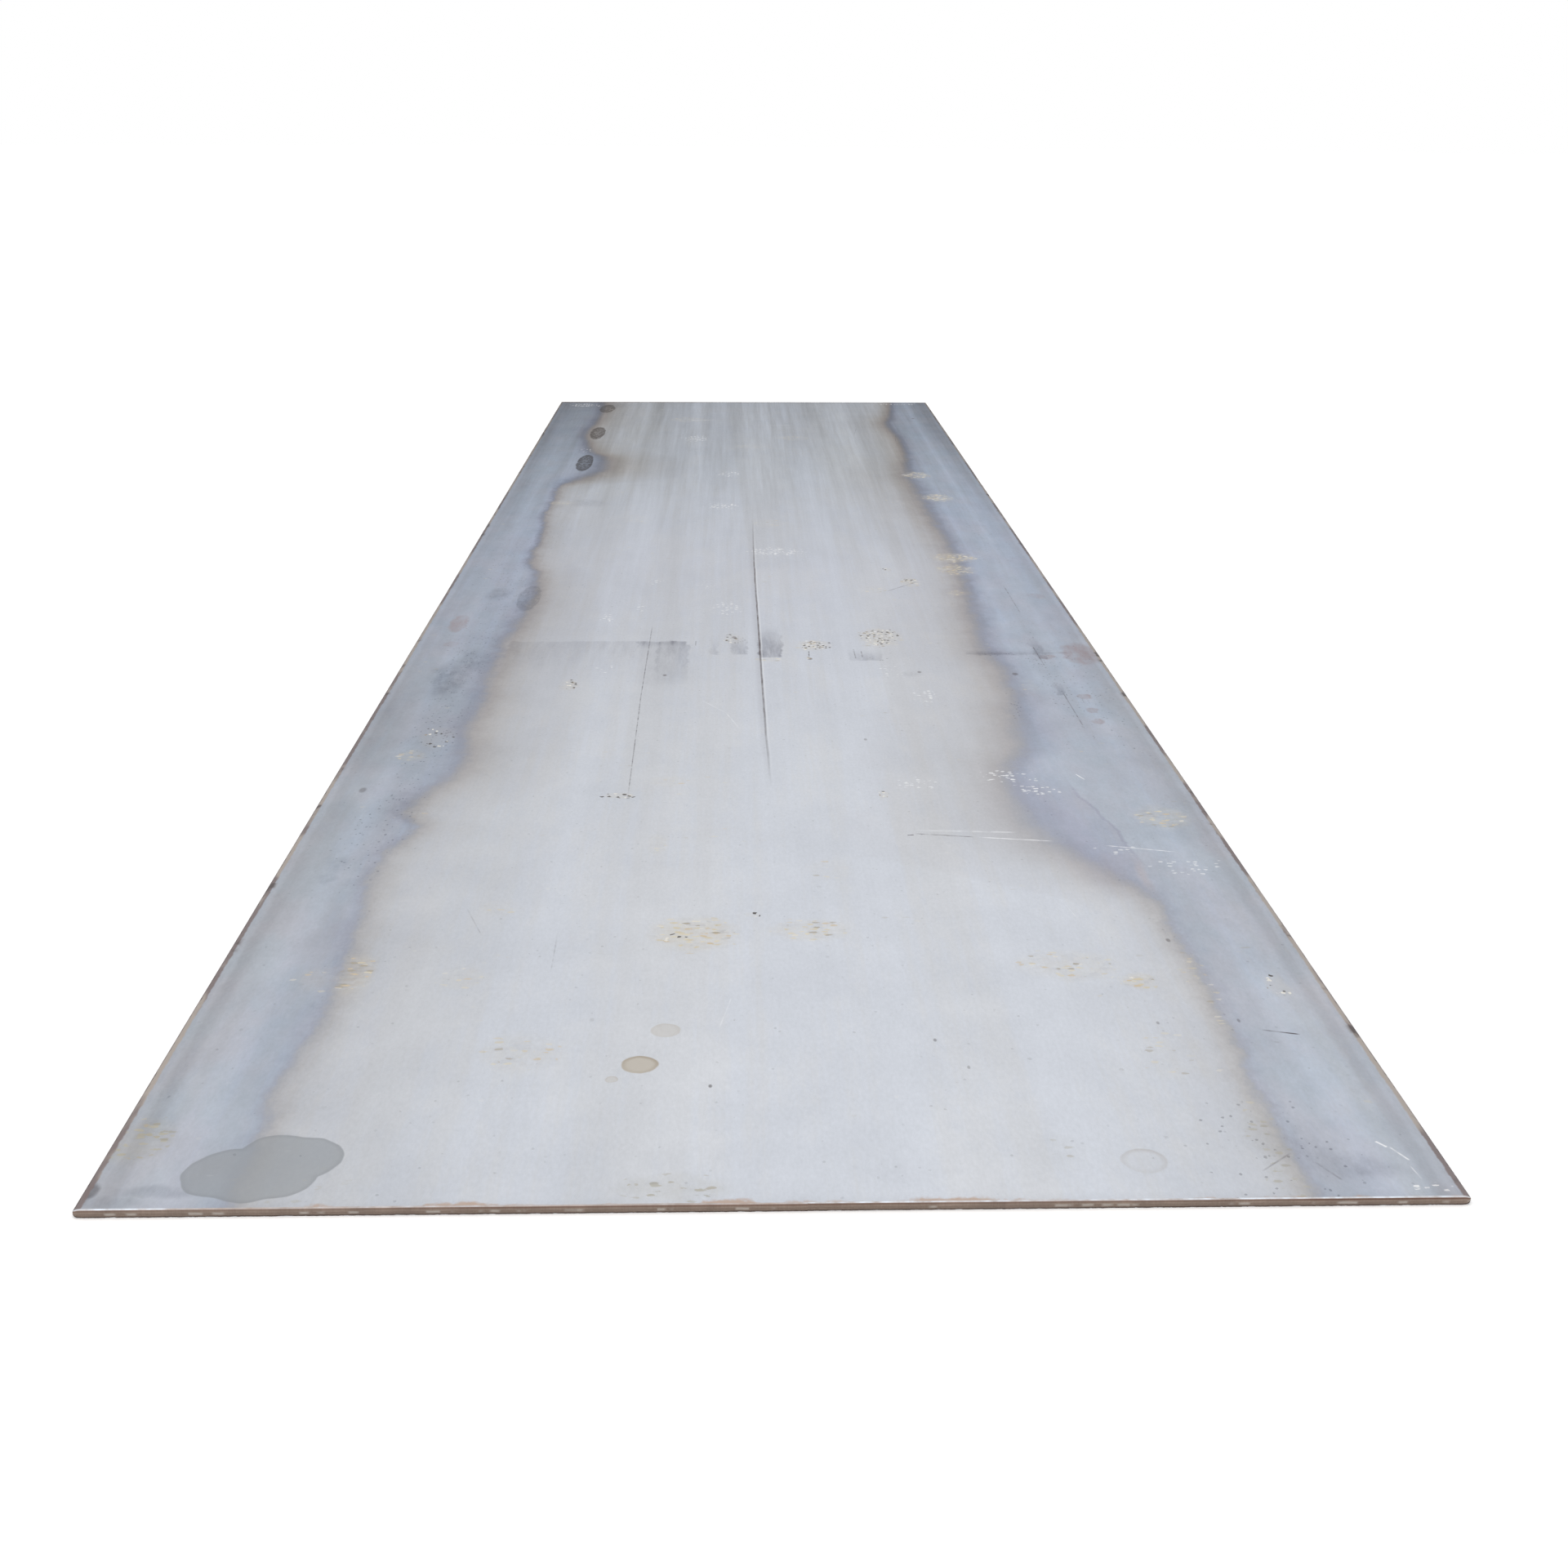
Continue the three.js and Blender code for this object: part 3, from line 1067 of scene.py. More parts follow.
# How wide one step of the heat tints is: (y, width).
LEFT_SPREAD = (
    (-3.0, 0.013), (-2.0, 0.013), (-1.8, 0.016), (-1.6, 0.024), (-0.6, 0.022), (-0.2, 0.017),
    (0.1, 0.013), (0.4, 0.011), (1.0, 0.01), (1.2, 0.026), (1.4, 0.037), (1.6, 0.033), (1.8, 0.024),
    (2.1, 0.018), (2.5, 0.021), (3.0, 0.022),
)
RIGHT_SPREAD = (
    (-3.0, 0.011), (-2.3, 0.011), (-2.15, 0.022), (-2.05, 0.034), (-1.95, 0.04), (-1.8, 0.034),
    (-1.65, 0.03), (-1.5, 0.036), (-1.3, 0.034), (-1.0, 0.029), (-0.5, 0.026), (0.0, 0.021),
    (0.5, 0.024), (1.25, 0.027), (1.6, 0.022), (2.0, 0.018), (2.5, 0.02), (2.7, 0.015),
    (3.0, 0.013),
)
# How much darker each band is: (y, factor).
LEFT_SHADE = (
    (-3.0, 1.07), (-2.7, 1.07), (-2.25, 1.0), (-1.75, 1.01), (-1.5, 0.91), (-1.25, 0.89),
    (-1.0, 0.95), (0.0, 1.0), (1.25, 0.98), (1.5, 0.95), (1.75, 0.89), (2.0, 0.81), (2.5, 0.76),
    (3.0, 0.6),
)
RIGHT_SHADE = (
    (-3.0, 1.1), (-2.0, 1.03), (-1.5, 0.99), (0.5, 1.02), (1.0, 1.0), (1.5, 0.96), (2.0, 0.88),
    (2.5, 0.82), (3.0, 0.76),
)
BAND_CURVES = ((LEFT_BORDER, RIGHT_BORDER), (LEFT_SPREAD, RIGHT_SPREAD), (LEFT_SHADE, RIGHT_SHADE))
# How deep the tints are along the plate: (y, share).
TINT_DEPTH = ((-3.0, 0.0), (-2.3, 0.05), (-1.2, 0.35), (0.0, 0.5), (1.0, 0.65), (1.8, 0.9), (3.0, 1.0))
# Lengthwise strips within the bands, by distance in from the crest: (inward, factor). The lighter step
# about 12 to 22 mm in from the crest is a painted highlight along the shoulder.
NEAR_STRIPS = (
    (0.0, 0.84), (0.016, 0.9), (0.022, 0.9), (0.028, 0.88), (0.042, 0.96), (0.06, 0.99),
    (0.085, 1.04), (0.1, 1.01), (0.12, 0.95), (0.15, 0.94), (0.17, 0.97), (0.26, 0.98),
)
FAR_STRIPS = (
    (0.0, 0.86), (0.012, 0.9), (0.022, 0.9), (0.036, 0.92), (0.05, 0.905), (0.062, 0.92),
    (0.075, 0.96), (0.09, 1.01), (0.108, 0.985), (0.125, 0.955), (0.14, 0.965), (0.16, 1.0),
)
# Brightness of the bare middle across the plate: (x, factor).
TONE_ACROSS = (
    (-0.75, 0.94), (-0.56, 0.895), (-0.48, 0.895), (-0.38, 0.93), (-0.27, 0.97), (-0.235, 0.955),
    (-0.18, 0.965), (-0.13, 0.985), (0.0, 0.995), (0.1, 1.0), (0.35, 1.0), (0.5, 0.985),
    (0.75, 0.975),
)
# The same for the lanes that show towards the back: (x, factor).
FAR_LANES = (
    (-0.46, 1.0), (-0.42, 1.01), (-0.38, 0.94), (-0.3, 0.84), (-0.24, 0.86), (-0.2, 0.96),
    (-0.17, 1.0), (-0.13, 0.84), (-0.09, 0.86), (-0.05, 0.89), (-0.02, 0.96), (0.03, 1.04),
    (0.08, 1.02), (0.12, 0.97), (0.2, 0.92), (0.25, 0.93), (0.29, 0.98), (0.33, 0.93), (0.36, 1.0),
    (0.4, 0.93), (0.44, 0.85), (0.48, 0.94), (0.52, 1.0),
)
# How strong the streaks of the rolls are: (y, share).
STREAKS = ((-3.0, 0.05), (-1.5, 0.08), (0.0, 0.19), (1.5, 0.46), (3.0, 0.68))
CLOUDS = 0.20
# The bare steel's tone from the front end to the back one: (share of the length, colour). Its darkening
# towards the back is painted shade, standing in for the weaker reflection at a glancing view.
STEEL_TONES_WITH_FAR_SHADE = (
    (0.0, srgb(199, 202, 208)), (0.25, srgb(199, 202, 208)), (0.5, srgb(193, 196, 204)),
    (0.75, srgb(180, 185, 193)), (1.0, srgb(163, 168, 177)),
)
# What turns a texture's value into the height of the scale's grain.
GRAIN_HEIGHT = 0.04 * MM


def even_tone(face):
    """The bare steel's brightness, darkened slowly towards the back by painted shade."""
    # Painted shade: the steel's tone darkens towards the back, for the glancing view there.
    face.wash(face.y.ranged(-HALF_LENGTH, HALF_LENGTH, 0.0, 1.0).ramp(STEEL_TONES_WITH_FAR_SHADE))
    face.shade(face.x.curve(TONE_ACROSS))
    far = face.y.step(0.6, 1.7)
    face.shade(far.mixed(1.0, face.x.curve(FAR_LANES)))
    face.tint(far * abs(face.x).step(0.18, 0.38), WARM_SIDES)


def heat_bands(face):
    """Blue-grey bands along both edges, which fade through violet and straw to bare steel."""
    x, y, place = face.x, face.y, face.place
    on_right = x.math("GREATER_THAN", 0.0)
    border, spread, depth = (on_right.mixed(y.curve(left), y.curve(right)) for left, right in BAND_CURVES)
    ripple = place.sway(38 * MM, "band ripple")
    fray = place.sway(30 * MM, "band fray")
    ragged = (ripple + fray) * y.step(1.2, 2.0).mixed(1.0, 0.22)
    out = abs(x)
    steps_in = (border - out + ragged) / spread
    face.wash(face.effect("heat_tint", Distance=steps_in, Depth=y.curve(TINT_DEPTH))["Colour"])
    inward = HALF_WIDTH - out - ripple * 0.4
    # The strips hold a painted highlight along the shoulder as well as the band's own strips.
    strips = y.step(-2.4, -1.8).mixed(inward.curve(NEAR_STRIPS), inward.curve(FAR_STRIPS))
    mottled = place.mottle(0.93, 1.07, "band mottle")
    in_band = steps_in.step(0.6, -0.8)
    face.shade(in_band.mixed(1.0, depth * (strips * mottled)))
    marbled = place.noise("band marble").step(0.35, 0.65)
    face.tint(in_band, marbled.blend(COOL_MARBLE, WARM_MARBLE))
    face.tint(inward.step(100 * MM, 50 * MM) * y.step(0.2, -1.6), WARM_RIM)
    # Painted shade: the outer edges of the bands darken towards the back.
    face.tint(out.step(0.66, 0.73) * y.step(0.4, 2.4), FAR_EDGE_PAINTED_SHADE)


# The outer side of the tongue: (y, x).
TONGUE_SIDE = ((-2.2, 0.596), (-2.1, 0.593), (-1.95, 0.587), (-1.85, 0.574), (-1.72, 0.55), (-1.5, 0.53))
# In from there, where the tongue starts and where it fades.
TONGUE_START = (-4 * MM, 10 * MM)
TONGUE_FADE = (145 * MM, 60 * MM)
# The lines along that side, each by its middle, reach and softness.
TONGUE_LINE = (4 * MM, 5 * MM, 0.8)
RIDGE_LINE = (10 * MM, 14 * MM, 0.9)


def violet_tongue(face):
    """A violet tongue where the right band runs inwards, with a fine dark line on its outer side."""
    y = face.y
    inside = y.curve(TONGUE_SIDE) - face.x + face.place.sway(30 * MM, "tongue fray")
    along = y.step(-2.22, -2.05) * y.step(-1.5, -1.85)
    tongue = inside.step(*TONGUE_START) * inside.step(*TONGUE_FADE)
    face.tint(tongue * along * 0.62, TONGUE_VIOLET)
    line = inside.near(*TONGUE_LINE) * y.step(-2.05, -1.95)
    face.tint(line * y.step(-1.62, -1.75) * 0.6, TONGUE_DARK)
    ridge = inside.near(*RIDGE_LINE) * y.near(-2.09, 0.09, 0.9)
    face.cover(ridge * 0.30, TONGUE_RIDGE)


def rolled_texture(face):
    """Streaks and grain left by the rolls, with a faint relief."""
    streaks = face.y.curve(STREAKS)
    face.wash(face.effect("rolling_streaks", Place=face.place, Streaks=streaks, Clouds=CLOUDS)["Shade"])
    face.lift(face.place.noise("scale grain") * GRAIN_HEIGHT)


# ---------------------------------------------------------------- the top face: stains

# Each list of marks is in mm, with strengths in percent. Most marks are ovals: x and y of the
# middle, half width, half length, strength.

# Lobes of the wet stain: (x, y, radius).
WET_LOBES = (
    (-603, -2930, 50), (-556, -2893, 44), (-528, -2898, 45), (-575, -2945, 44), (-545, -2940, 40),
)
# How far the lobes run into one another, and where the puddle's outline and its rim lie.
LOBE_BLEND = 5 * MM
PUDDLE_OUTLINE = (1.2 * MM, -1.2 * MM)
RIM_INSIDE = (-8 * MM, -1 * MM)


def beside(place, x, y):
    """The way from a spot on the plate to a place, along the face."""
    return (place - (x * MM, y * MM, 0.0)) * (1, 1, 0)


def wet_stain(face):
    """A dried puddle by the front left corner, with a crisp, slightly darker rim."""
    loose = face.ragged(*WET_OUTLINE)
    edge = 1.0
    for x, y, radius in WET_LOBES:
        gap = beside(loose, x, y).length() - radius * MM
        edge = gap.math("SMOOTH_MIN", edge, LOBE_BLEND)
    wet = edge.step(*PUDDLE_OUTLINE)
    film = face.place.noise("wet clouds").blend(WET_SHADE, WET_GLEAM)
    rim = wet * edge.step(*RIM_INSIDE)
    face.cover(wet * 0.68, film, dull=0.1)
    face.tint(rim * 0.13, PUDDLE_RIM)


# Round dried drops: (x, y, radius, share of the film, share of the rim).
DRIED_DROPS = (
    (-163, -2687, 22.5, 75, 50), (-196, -2724, 8, 30, 20), (-134, -2596, 19, 32, 10),
    (410, -2920, 26, 5, 22),
)


def dried_drops(face):
    """Drops that dried light in the middle, with a brown rim on the far side."""
    loose = face.ragged(*DROP_OUTLINE)
    for x, y, radius, film, rim in DRIED_DROPS:
        reach = radius * MM
        offset = beside(loose, x, y)
        distance = offset.length() / reach
        inside = distance.step(1.05, 0.93)
        far_side = offset.dot((0.3, 1.0, 0.0)).ranged(-reach, reach, 0.30, 1.0)
        ring = distance.step(0.62, 0.95) * inside * far_side
        face.cover(inside * (film * PERCENT), DROP_FILM, dull=0.5)
        face.cover(ring * (rim * PERCENT), DROP_RIM, dull=0.5)


# Prints of something oval that stood wet on the left band.
GRAINED_OVALS = (
    (-540, -325, 27, 125, 24), (-546, 1560, 27, 160, 100), (-545, 2190, 27, 140, 100),
    (-548, 2805, 30, 110, 80),
)


def grained_ovals(face):
    """Dark grainy ovals, a little lighter in the middle, and browner towards the back."""
    grains = face.place.mottle(-0.5, 0.5, "oval grains")
    film = face.y.step(1.8, 2.0).blend(OVAL_GREY, OVAL_BROWN)
    for distance, strength in ovals(face.ragged(*OVAL_OUTLINE), GRAINED_OVALS):
        rim = distance.ranged(0.1, 0.9, 0.66, 1.0)
        mask = distance.step(1.06, 0.92) * (rim + grains)
        face.tint((mask * strength).held(), film)


# Soft grey patches.
GREY_SMUDGES = (
    (-636, -1020, 34, 110, 55), (-605, -870, 30, 80, 45), (-620, -285, 30, 50, 45),
    (-670, -2966, 40, 12, 36), (-735, -2986, 60, 10, 26), (640, -2935, 45, 22, 34),
    (606, -2900, 22, 50, 26), (-480, 860, 45, 50, 25), (-743, -2964, 9, 18, 85),
    (-660, -2035, 14, 30, 30), (-664, -2085, 12, 22, 35), (-560, 2890, 60, 90, 40),
    (330, -985, 20, 20, 20), (-500, 1330, 60, 120, 20), (-600, -1800, 30, 120, 22),
    (640, -2210, 50, 160, 12), (-80, -2905, 100, 30, 6), (-190, -985, 60, 80, 14),
    (-320, -640, 160, 40, 5),
)
# Faded pink-brown patches.
BROWN_PATCHES = (
    (-678, -570, 20, 75, 75), (708, -830, 40, 85, 80), (636, -855, 20, 16, 90),
    (660, -1150, 12, 20, 80), (660, -1240, 12, 18, 75), (656, -1312, 12, 15, 75),
    (690, -305, 18, 24, 35), (-668, -745, 16, 22, 35),
)


def smudges(face):
    """Grey smudges and pink-brown patches."""
    mottled = face.place.mottle(0.35, 1.4, "smudge mottle")
    smudge = gathered(face.loose, GREY_SMUDGES, 0.55)
    face.tint(smudge * mottled, SMUDGE_GREY)
    patch = gathered(face.loose, BROWN_PATCHES, 0.2)
    face.cover(patch * mottled * 0.60, FADED_BROWN, dull=0.3)


# Wiped smears: (left, right, y of the sharp end, y where it has faded, strength).
SMEARS = (
    (-540, -190, -722, -1050, 24), (-262, -152, -722, -815, 70), (-212, -144, -750, -1140, 42),
    (-96, -80, -832, -640, 28), (-48, -18, -832, -640, 48), (12, 58, -854, -560, 80),
    (205, 275, -880, -780, 34), (460, 650, -838, -790, 38), (610, 632, -870, -650, 55),
    (612, 628, -1140, -1040, 45),
)
# How far a smear spreads past its sides, and how soft they and its sharp end are.
SMEAR_SPREAD = 4 * MM
SMEAR_SIDE = 7 * MM
SMEAR_START = 6 * MM


def smears(face):
    """Dark smears that start sharply and were wiped out along the plate."""
    threads = face.place.noise("wiped threads").ranged(0.35, 0.65, 0.35, 1.35)
    x, y = face.loose.x, face.loose.y
    masks = []
    for left, right, sharp_end, faded_end, strength in in_metres(SMEARS):
        half = (right - left) / 2 + SMEAR_SPREAD
        inside = x.near((left + right) / 2, half, SMEAR_SIDE / half)
        into = math.copysign(SMEAR_START, faded_end - sharp_end)
        start = y.step(sharp_end - into, sharp_end + into)
        masks.append(inside * strength * (start * y.step(faded_end, sharp_end)))
    face.tint(strongest(masks) * threads, SMEAR_GREY)


# ---------------------------------------------------------------- the top face: prints

# Loose tan dashes left by boots and blocks.
TAN_PRINTS = (
    (-105, -2300, 56, 55, 100), (60, -2288, 50, 36, 75), (410, -2410, 62, 44, 60),
    (-312, -2655, 45, 50, 45), (-110, -2968, 55, 26, 65), (-415, -2435, 30, 35, 40),
    (500, -2460, 22, 28, 100), (500, -2680, 45, 60, 22), (560, -2900, 20, 120, 45),
    (585, -2480, 18, 110, 22), (-720, -2858, 34, 44, 100), (-560, -2425, 26, 60, 80),
    (-600, -2440, 40, 30, 35), (-630, -1510, 24, 30, 60), (668, -1838, 40, 50, 80),
    (-160, -1650, 32, 26, 35), (122, -760, 36, 45, 45), (268, -695, 36, 75, 45),
    (-385, -1068, 18, 38, 30), (400, -170, 24, 45, 60), (530, -30, 45, 55, 100),
    (500, -280, 22, 26, 55), (300, -240, 30, 40, 30), (540, 115, 55, 50, 100),
    (580, 945, 42, 55, 100), (555, 1330, 42, 55, 100), (-560, 860, 36, 30, 45),
    (-390, -2200, 26, 30, 25), (320, -2900, 30, 40, 18), (100, -2060, 34, 40, 22),
    (-170, -1950, 16, 40, 35), (30, -872, 30, 18, 45), (60, 560, 50, 50, 30),
    (-220, 2520, 60, 60, 30), (180, 2080, 60, 50, 25), (560, -1080, 18, 60, 25),
    (30, 1900, 60, 40, 20), (-330, 620, 40, 60, 22),
)
# Tighter prints with dark cores.
DARK_PRINTS = (
    (500, -2460, 26, 24, 15), (684, -2482, 16, 34, 70), (-240, -1724, 26, 14, 95),
    (210, -1724, 9, 18, 90), (-18, -2236, 13, 9, 50), (284, -690, 42, 72, 100),
    (134, -756, 32, 40, 100), (400, -150, 18, 30, 80), (-382, -1060, 16, 35, 90),
    (350, -22, 10, 16, 80), (-130, -2312, 18, 14, 80), (115, -862, 6, 8, 100),
    (-50, -700, 20, 40, 60), (-600, -1400, 30, 60, 40),
)
# Clusters of pale flecks.
PALE_FLECKS = (
    (440, -1630, 50, 30, 80), (475, -1700, 44, 24, 80), (280, -1665, 36, 30, 45),
    (285, -960, 26, 44, 55), (338, -1140, 24, 55, 60), (-60, -425, 40, 60, 60),
    (-340, -520, 12, 40, 70), (-245, -155, 20, 36, 60), (-112, -200, 20, 32, 60),
    (-260, -415, 20, 45, 40), (70, 190, 70, 45, 90), (-80, 815, 44, 50, 90),
    (-60, 1350, 36, 44, 70), (-180, 2070, 44, 60, 90), (134, -750, 34, 40, 45),
    (284, -695, 40, 70, 40), (690, -2982, 16, 6, 100), (716, -2976, 20, 10, 100),
    (660, -2060, 60, 30, 45), (-650, 2900, 50, 40, 80), (620, 2945, 90, 18, 80),
    (-555, 1800, 30, 40, 40), (-320, -945, 30, 30, 30), (560, -1985, 40, 20, 40),
    (-600, 2890, 40, 30, 50),
)
# What the dashes of a print are coloured: (share of them up to here, colour).
DASH_COLOURS = (
    (0.0, srgb(172, 163, 146)), (0.14, srgb(208, 198, 174)), (0.42, srgb(216, 208, 188)),
    (0.74, srgb(206, 190, 162)), (0.90, srgb(222, 217, 206)),
)
CORE_COLOURS = ((0.0, srgb(80, 75, 72)), (0.5, srgb(160, 148, 130)), (0.62, srgb(228, 225, 218)))


def tan_prints(face):
    """Loose rust dashes, tan to brown and a few of them pale, with a faint film between them."""
    cluster = gathered(face.loose, TAN_PRINTS, 0.35)
    stray = face.place.noise("stray dashes").step(0.52, 0.72)
    share = strongest((cluster, stray * 0.07))
    mask, hue = scattered(face.place, 64.0, 118.0, share, 0.9)
    film = share * 0.44 * face.place.noise("print film")
    mask = strongest((mask * cluster.ranged(0.0, 1.0, 0.35, 0.95), film))
    olive = face.y.step(-2.75, -2.85) * 0.75
    face.cover(mask, olive.blend(hue.ramp(DASH_COLOURS, steps=True), OLIVE_GREY), dull=0.8)


def dark_prints(face):
    """Small tight prints: a tan film with dark and pale dashes."""
    cluster = gathered(face.loose, DARK_PRINTS, 0.25)
    mask, hue = scattered(face.place, 110.0, 100.0, cluster * 0.9, 0.8)
    face.cover(cluster * 0.20, PRINT_FILM)
    face.cover(mask * 0.95, hue.ramp(CORE_COLOURS, steps=True), dull=0.8)


def pale_flecks(face):
    """Pale flecks where something light was rubbed off on the plate."""
    cluster = gathered(face.loose, PALE_FLECKS, 0.35)
    mask, _ = scattered(face.place, 95.0, 150.0, cluster * 0.8, 0.8)
    face.cover(mask * cluster.ranged(0.0, 1.0, 0.45, 1.0), CHALKY, dull=0.5)


# ---------------------------------------------------------------- the top face: specks and scratches

# Where dark specks gather.
SPECKLED = (
    (-625, -1850, 40, 260, 85), (-610, -1300, 45, 350, 70), (-615, -850, 50, 300, 80),
    (-600, -250, 50, 300, 60), (622, -1000, 35, 350, 60), (560, -828, 80, 18, 95),
    (560, -2900, 80, 100, 45), (-580, 330, 60, 120, 55), (-40, -700, 20, 60, 80),
    (510, -1190, 12, 110, 80), (250, -870, 60, 14, 60), (-670, 100, 50, 300, 30),
    (650, 300, 60, 300, 20), (-500, 500, 30, 60, 40), (-420, -230, 30, 60, 25),
    (690, -1100, 30, 400, 35),
)
# Single dark dots.
DARK_DOTS = (
    (118, -866, 5, 8, 100), (-190, -990, 4, 6, 100), (344, -970, 4, 7, 80), (544, -986, 6, 9, 90),
    (-76, -2742, 2.2, 4, 100), (206, -2628, 2.2, 4, 80), (-230, -2565, 3, 5, 25),
    (568, -2330, 3, 6, 80), (-686, -1690, 6, 12, 70), (200, -1420, 3, 6, 60),
    (655, 2560, 6, 12, 80), (-45, -690, 5, 10, 80), (-740, -2963, 8, 14, 70),
    (498, -2585, 2, 4, 60), (604, -2580, 2, 5, 70), (240, -2700, 1.8, 4, 60),
)


def specks(face):
    """Fine dark specks: a few everywhere, more where scale has come off, and single dots."""
    share = gathered(face.place, SPECKLED, 0.6) * 0.22 + 0.012
    mask, _ = scattered(face.place, 190.0, 150.0, share, 0.6)
    face.tint(mask * 0.5, SPECK_GREY)
    face.cover(gathered(face.place, DARK_DOTS, 0.4) * 0.65, DOT_DIRT, dull=0.8)


# The deep lengthwise groove: (y, x) and (y, strength).
GROOVE_PATH = ((-1.7, 0.0185), (-1.35, 0.014), (-1.0, 0.012), (-0.5, 0.01), (0.0, 0.008), (0.65, 0.01))
GROOVE_STRENGTH = (
    (-1.68, 0.0), (-1.45, 0.45), (-1.2, 0.8), (-0.8, 1.0), (-0.1, 0.9), (0.2, 0.6), (0.45, 0.3),
    (0.64, 0.0),
)
GROOVE_DEPTH = 0.25 * MM
# Across the groove: the middle, reach and softness of its cut, its painted highlight and its painted
# shade.
CUT_LINE = (0.0, 2.8 * MM, 0.7)
HIGHLIGHT_LINE = (4.2 * MM, 2.6 * MM, 0.8)
PAINTED_SHADE_LINE = (-4 * MM, 12 * MM, 1.0)


def groove(face):
    """The deep groove, dark in its cut, with a painted highlight on its right and painted shade on its
    left.
    """
    place = face.place
    aside = face.x - face.y.curve(GROOVE_PATH) - place.sway(3 * MM, "groove waver")
    strength = face.y.curve(GROOVE_STRENGTH)
    uneven = strength * place.noise("groove wear").ranged(0.3, 0.6, 0.6, 1.0)
    cut = aside.near(*CUT_LINE) * uneven
    lip = aside.near(*HIGHLIGHT_LINE) * strength
    painted_shade = aside.near(*PAINTED_SHADE_LINE) * strength
    # Painted shade along the groove's left side.
    face.tint(painted_shade * 0.22, PAINTED_SHADE_GREY)
    # Painted highlight along the groove's right lip.
    face.cover(lip * 0.5, GROOVE_HIGHLIGHT)
    face.cover(cut * 0.85, GROOVE_DARK, dull=0.5)
    face.lift(cut * -GROOVE_DEPTH)


# Scratches: x and y of the start, x and y of the stop, half width, strength.
DARK_SCRATCHES = (
    (-228, -1730, -233, -1100, 1.6, 65), (-233, -1250, -232, -560, 1.6, 70),
    (244, -1908, 345, -1925, 2.6, 75), (234, -1916, 246, -1914, 3, 90),
    (626, -2606, 674, -2620, 2.6, 95), (116, -865, 118, -800, 2, 80),
    (217, -870, 216, -785, 2.2, 60), (232, -860, 232, -800, 2, 60), (616, -930, 614, -760, 2.2, 70),
    (624, -1370, 622, -1110, 2, 60), (630, -480, 628, -190, 2, 50), (330, -260, 415, -160, 3, 50),
    (-296, -2420, -298, -2290, 1.6, 25), (480, -826, 700, -822, 3, 50),
    (535, -2945, 580, -2905, 2, 35), (400, 2150, 420, 2330, 2.4, 35),
    (600, -2925, 620, -2965, 2.4, 50), (-130, -760, -130, -715, 2, 50),
    (-440, -2200, -405, -2300, 1.6, 20), (540, 2000, 555, 2160, 2.4, 35),
)
LIGHT_SCRATCHES = (
    (345, -1925, 470, -1945, 2.2, 80), (540, -1962, 660, -1995, 1.8, 75),
    (246, -1893, 420, -1905, 5, 30), (682, -2882, 692, -2896, 2.6, 100),
    (694, -2894, 708, -2925, 2.2, 100), (704, -2935, 708, -2965, 1.4, 50),
    (-36, -1350, -62, -1250, 2.2, 35), (-60, -1255, -112, -1165, 2, 35),
    (560, -1618, 572, -1650, 1.8, 80), (500, 1335, 560, 1350, 4, 60), (90, 2380, 180, 2390, 4, 40),
    (-210, 2500, -110, 2520, 4, 50), (440, -2180, 452, -2250, 1.4, 30),
    (-50, -2500, -66, -2590, 1.4, 30),
)


def scratches(face):
    """Fine scratches, dark where they are full of dirt and light where they are fresh."""
    broken = face.place.noise("scratch breaks").ranged(0.35, 0.5, 0.35, 1.0)
    face.cover(drawn(face.place, DARK_SCRATCHES) * broken * 0.8, SCRATCH_DIRT, dull=0.5)
    face.cover(drawn(face.place, LIGHT_SCRATCHES) * broken, FRESH_SCRATCH, dull=0.0)


# ---------------------------------------------------------------- the top face: rims


# The lines beside the rolled edge, in from the crest: middle, reach and softness.
DARK_BEAD = (30 * MM, 20 * MM, 0.8)
LIGHT_BEAD = (18 * MM, 6 * MM, 0.8)


def mill_edges(face):
    """The rolled edge's strip, with a light and a dark line beside it."""
    edge = face.effect("mill_edge", Place=face.place)
    bead = edge["Inward"] + face.place.sway(10 * MM, "bead waver")
    face.tint(bead.near(*DARK_BEAD) * 0.35, BEAD_BROWN)
    face.tint(bead.near(*LIGHT_BEAD) * 0.5, BEAD_LIGHT)
    # Painted shade: the edge strip's colour is dimmed towards the back.
    face.cover(edge["Mask"] * 0.9, edge["Colour"].lit(face.y.ranged(-2.5, 2.0, 0.96, 0.50)), dull=0.7)


# How far rust has crept in from the front end: (x, reach).
FRONT_RUST = (
    (-0.75, 0.0), (-0.54, 0.0), (-0.48, 0.002), (-0.42, 0.0), (-0.38, 0.003), (-0.36, 0.009),
    (-0.33, 0.009), (-0.3, 0.003), (-0.1, 0.001), (-0.07, 0.009), (-0.03, 0.008), (0.0, 0.001),
    (0.12, 0.001), (0.16, 0.009), (0.2, 0.009), (0.24, 0.003), (0.36, 0.0), (0.5, 0.002),
    (0.75, 0.001),
)
# Where the rims fade out and where they are full, in from an end or from the reach of rust.
FRONT_RUST_RIM = (3 * MM, -5 * MM)
ROLLOVER_RIM = (20 * MM, 3 * MM)
BACK_EDGE_SHADE_RIM = (24 * MM, 10 * MM)
UNDER_RUST_RIM = (20 * MM, -4 * MM)


def front_rim(face):
    """Rust that creeps in from the front end, and the shade of the rollover."""
    inward = face.y + HALF_LENGTH
    loose = inward + face.place.sway(24 * MM, "front creep")
    rust = (loose - face.x.curve(FRONT_RUST)).step(*FRONT_RUST_RIM)
    face.cover(rust * 0.7, FRONT_RUST_TAN, dull=0.7)
    face.tint(inward.step(*ROLLOVER_RIM) * 0.15, ROLLOVER_SHADE)


